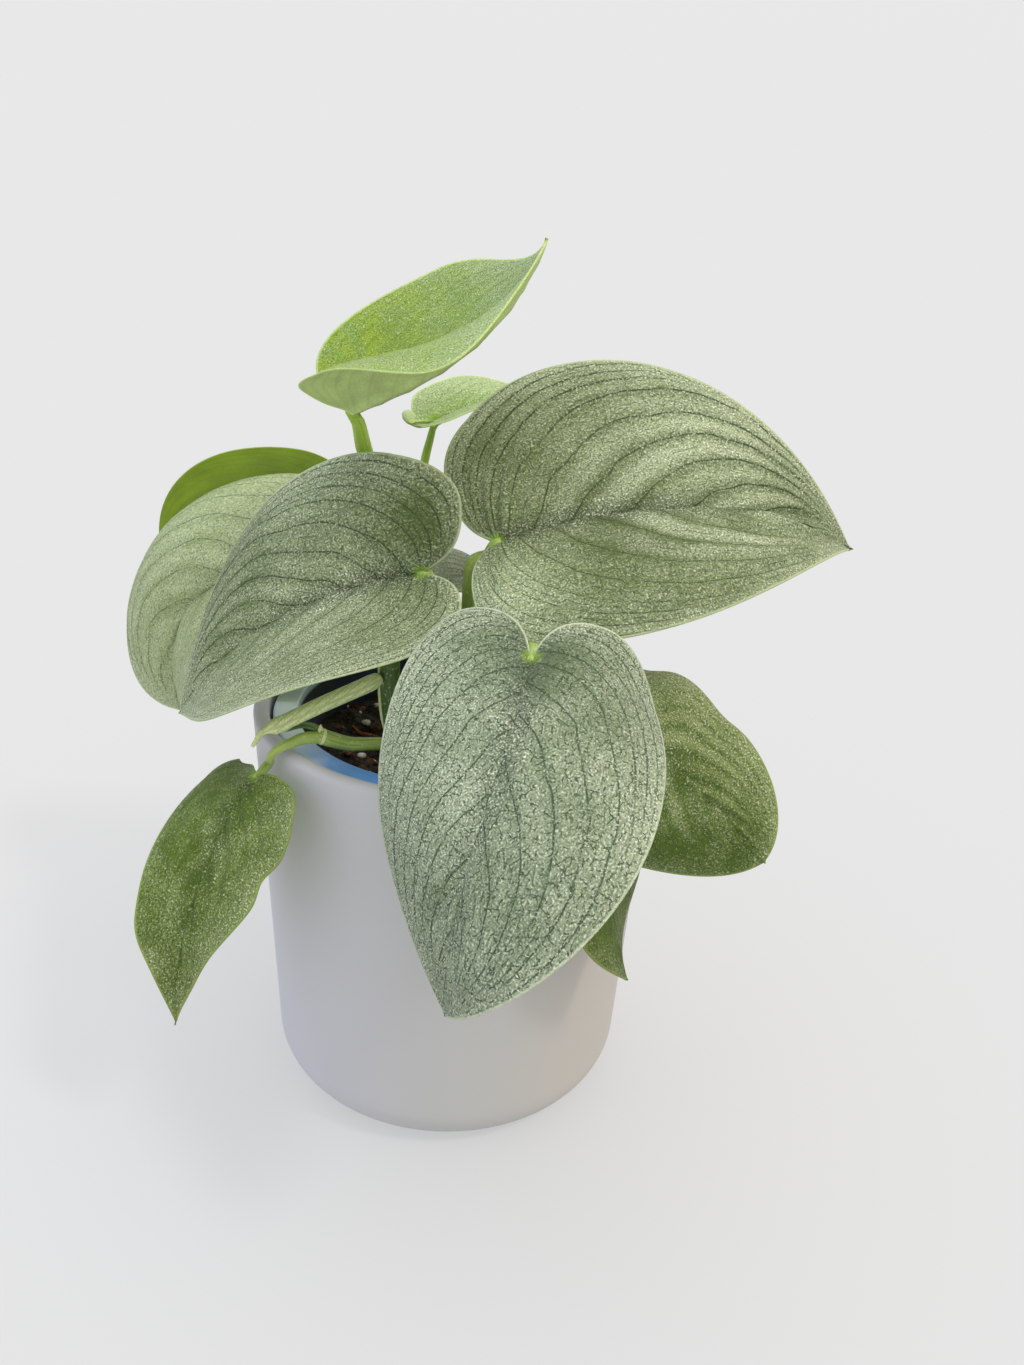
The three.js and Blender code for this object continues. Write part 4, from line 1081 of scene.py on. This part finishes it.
# Small pieces: name, slot, material, path, pairs of share along it and radius, and what else rod
# takes
pale_scar = stem_skin("pale_node_scar", "#b9c27a", "#dfe3b4")
small_pieces = [
    # The vine's node: a scar round it, a bud tip over it and a sheath wing beside it, its dark
    # green painted shade
    ("vine_node_scar", "stem", pale_scar,
     [(-41.3, -43.3, 151.7), (-42, -43.5, 152), (-42.8, -43.7, 152.3)],
     ((0, 2.2), (0.3, 2.65), (0.7, 2.65), (1, 2.2))),
    ("vine_bud_tip", "stem", pale_scar,
     [(-42.3, -43.7, 153.4), (-42.5, -43.8, 155), (-42.5, -43.8, 156.4)],
     ((0, 1.2), (0.4, 1.0), (1, 0.15))),
    ("vine_sheath_wing", "stem", stem_skin("painted_shade_sheath_wing", "#3c5a1e", "#557a2c"),
     [(-41.5, -42, 152.6), (-46, -41.4, 154.6), (-49.5, -41.4, 154.6), (-53.5, -41.8, 152.4)],
     ((0, 2), (0.3, 3.4), (0.7, 2.8), (1, 0.3)), FLAT),
    # The pale margin of the sheath that holds the rolled leaf
    ("sheath_margin", "stem", pale_scar,
     [(-21.6, -34.6, 146), (-23.6, -35.4, 154), (-24.7, -35.9, 165), (-24.8, -35.9, 176)],
     ((0, 0.5), (0.5, 0.7), (1, 0.4))),
    # The small young leaf's left lobe, still curled back
    ("young_leaf_curled_lobe", "leaf_young",
     stem_skin("curled_young_lobe", "#b4cc8c", "#dbe9c2"),
     [(-13, 33.5, 234.3), (-16, 32.8, 234.2), (-19.1, 32.4, 235.9), (-22, 32.2, 238)],
     ((0, 0.9), (0.35, 1.9), (0.7, 2.6), (0.9, 2.1), (1, 0.5)), FLAT, (0.25, 0.3, 0.92)),
    # A reddish root fibre lying on the mix
    ("root_fibre", "potting_mix",
     crumb("root_fibre", "#8a4a2c", "#b0704a", size=1.0, roughness=0.7),
     [(x, y, soil_surface(x, y) + 0.5) for x, y in ROOT_FIBRE],
     ((0, 0.35), (0.5, 0.7), (1, 0.3))),
]
for name, slot, *how in small_pieces:
    place_piece(rod(name, *how), slot)
place_piece(rod("rolled_new_leaf", rolled_skin("rolled_leaf"), ROLLED_LEAF_PATH,
                ROLLED_LEAF_RADIUS, ROLLED, rings=70), "leaf_young", "rolled_leaf")

# Floor, light and camera

bm = bmesh.new()
bmesh.ops.create_grid(bm, x_segments=1, y_segments=1, size=TABLE_REACH)
floor = finished(bm, "studio_floor", [light_table("opal_acrylic_table")], smooth=False)

world = bpy.data.worlds.new("studio_light")
bpy.context.scene.world = world
world.use_nodes = True
world.node_tree.nodes.clear()
add = partial(add_node, world.node_tree)
sideways, _, upward = add((add((), "TexCoord"),), **PARTS).node.outputs
level = add((add((upward, 0.0), **LARGER), SKY_RISE), **POWER)
glow = add((level, SKY_GAIN, SKY_GLOW), **TIMES_PLUS)
# High up it is cooler on the left and warmer on the right
near_side, far_side = SKY_SIDE
high = add((upward, *SKY_HIGH, 0, 1), **STEP)
left = add((sideways, -far_side, -near_side, 1, 0), **STEP)
right = add((sideways, near_side, far_side, 0, 1), **STEP)
tint = linear("#ffffff")
for side, hex_colour in ((left, SKY_COOL), (right, SKY_WARM)):
    amount = add((side, high), **TIMES)
    tint = add({0: amount, 6: tint, 7: linear(hex_colour)}, **BLEND)
add((add((tint, glow), "Background"),), "OutputWorld")

sun = bpy.data.lights.new("key_light", "SUN")
sun.energy = SUN_STRENGTH
sun.angle = radians(SUN_WIDTH)
sun.color = SUN_COLOUR
sun_place = bpy.data.objects.new("key_light", sun)
sun_place.rotation_euler = Vector(SUN_FROM).to_track_quat("Z", "Y").to_euler()
bpy.context.scene.collection.objects.link(sun_place)

film = bpy.data.cameras.new("camera")
film.sensor_width, film.lens = CAMERA_FILM, CAMERA_LENS
film.clip_start, film.clip_end = CAMERA_NEAR, CAMERA_FAR
eye = bpy.data.objects.new("camera", film)
eye.matrix_world = (
    Matrix.Translation(Vector(CAMERA_PLACE) * MM)
    @ Matrix.Rotation(radians(-CAMERA_YAW), 4, "Z")
    @ Matrix.Rotation(radians(90 - CAMERA_PITCH), 4, "X")
    @ Matrix.Rotation(radians(CAMERA_ROLL), 4, "Z"))
bpy.context.scene.collection.objects.link(eye)
bpy.context.scene.camera = eye
bpy.context.scene.view_settings.view_transform = "Standard"
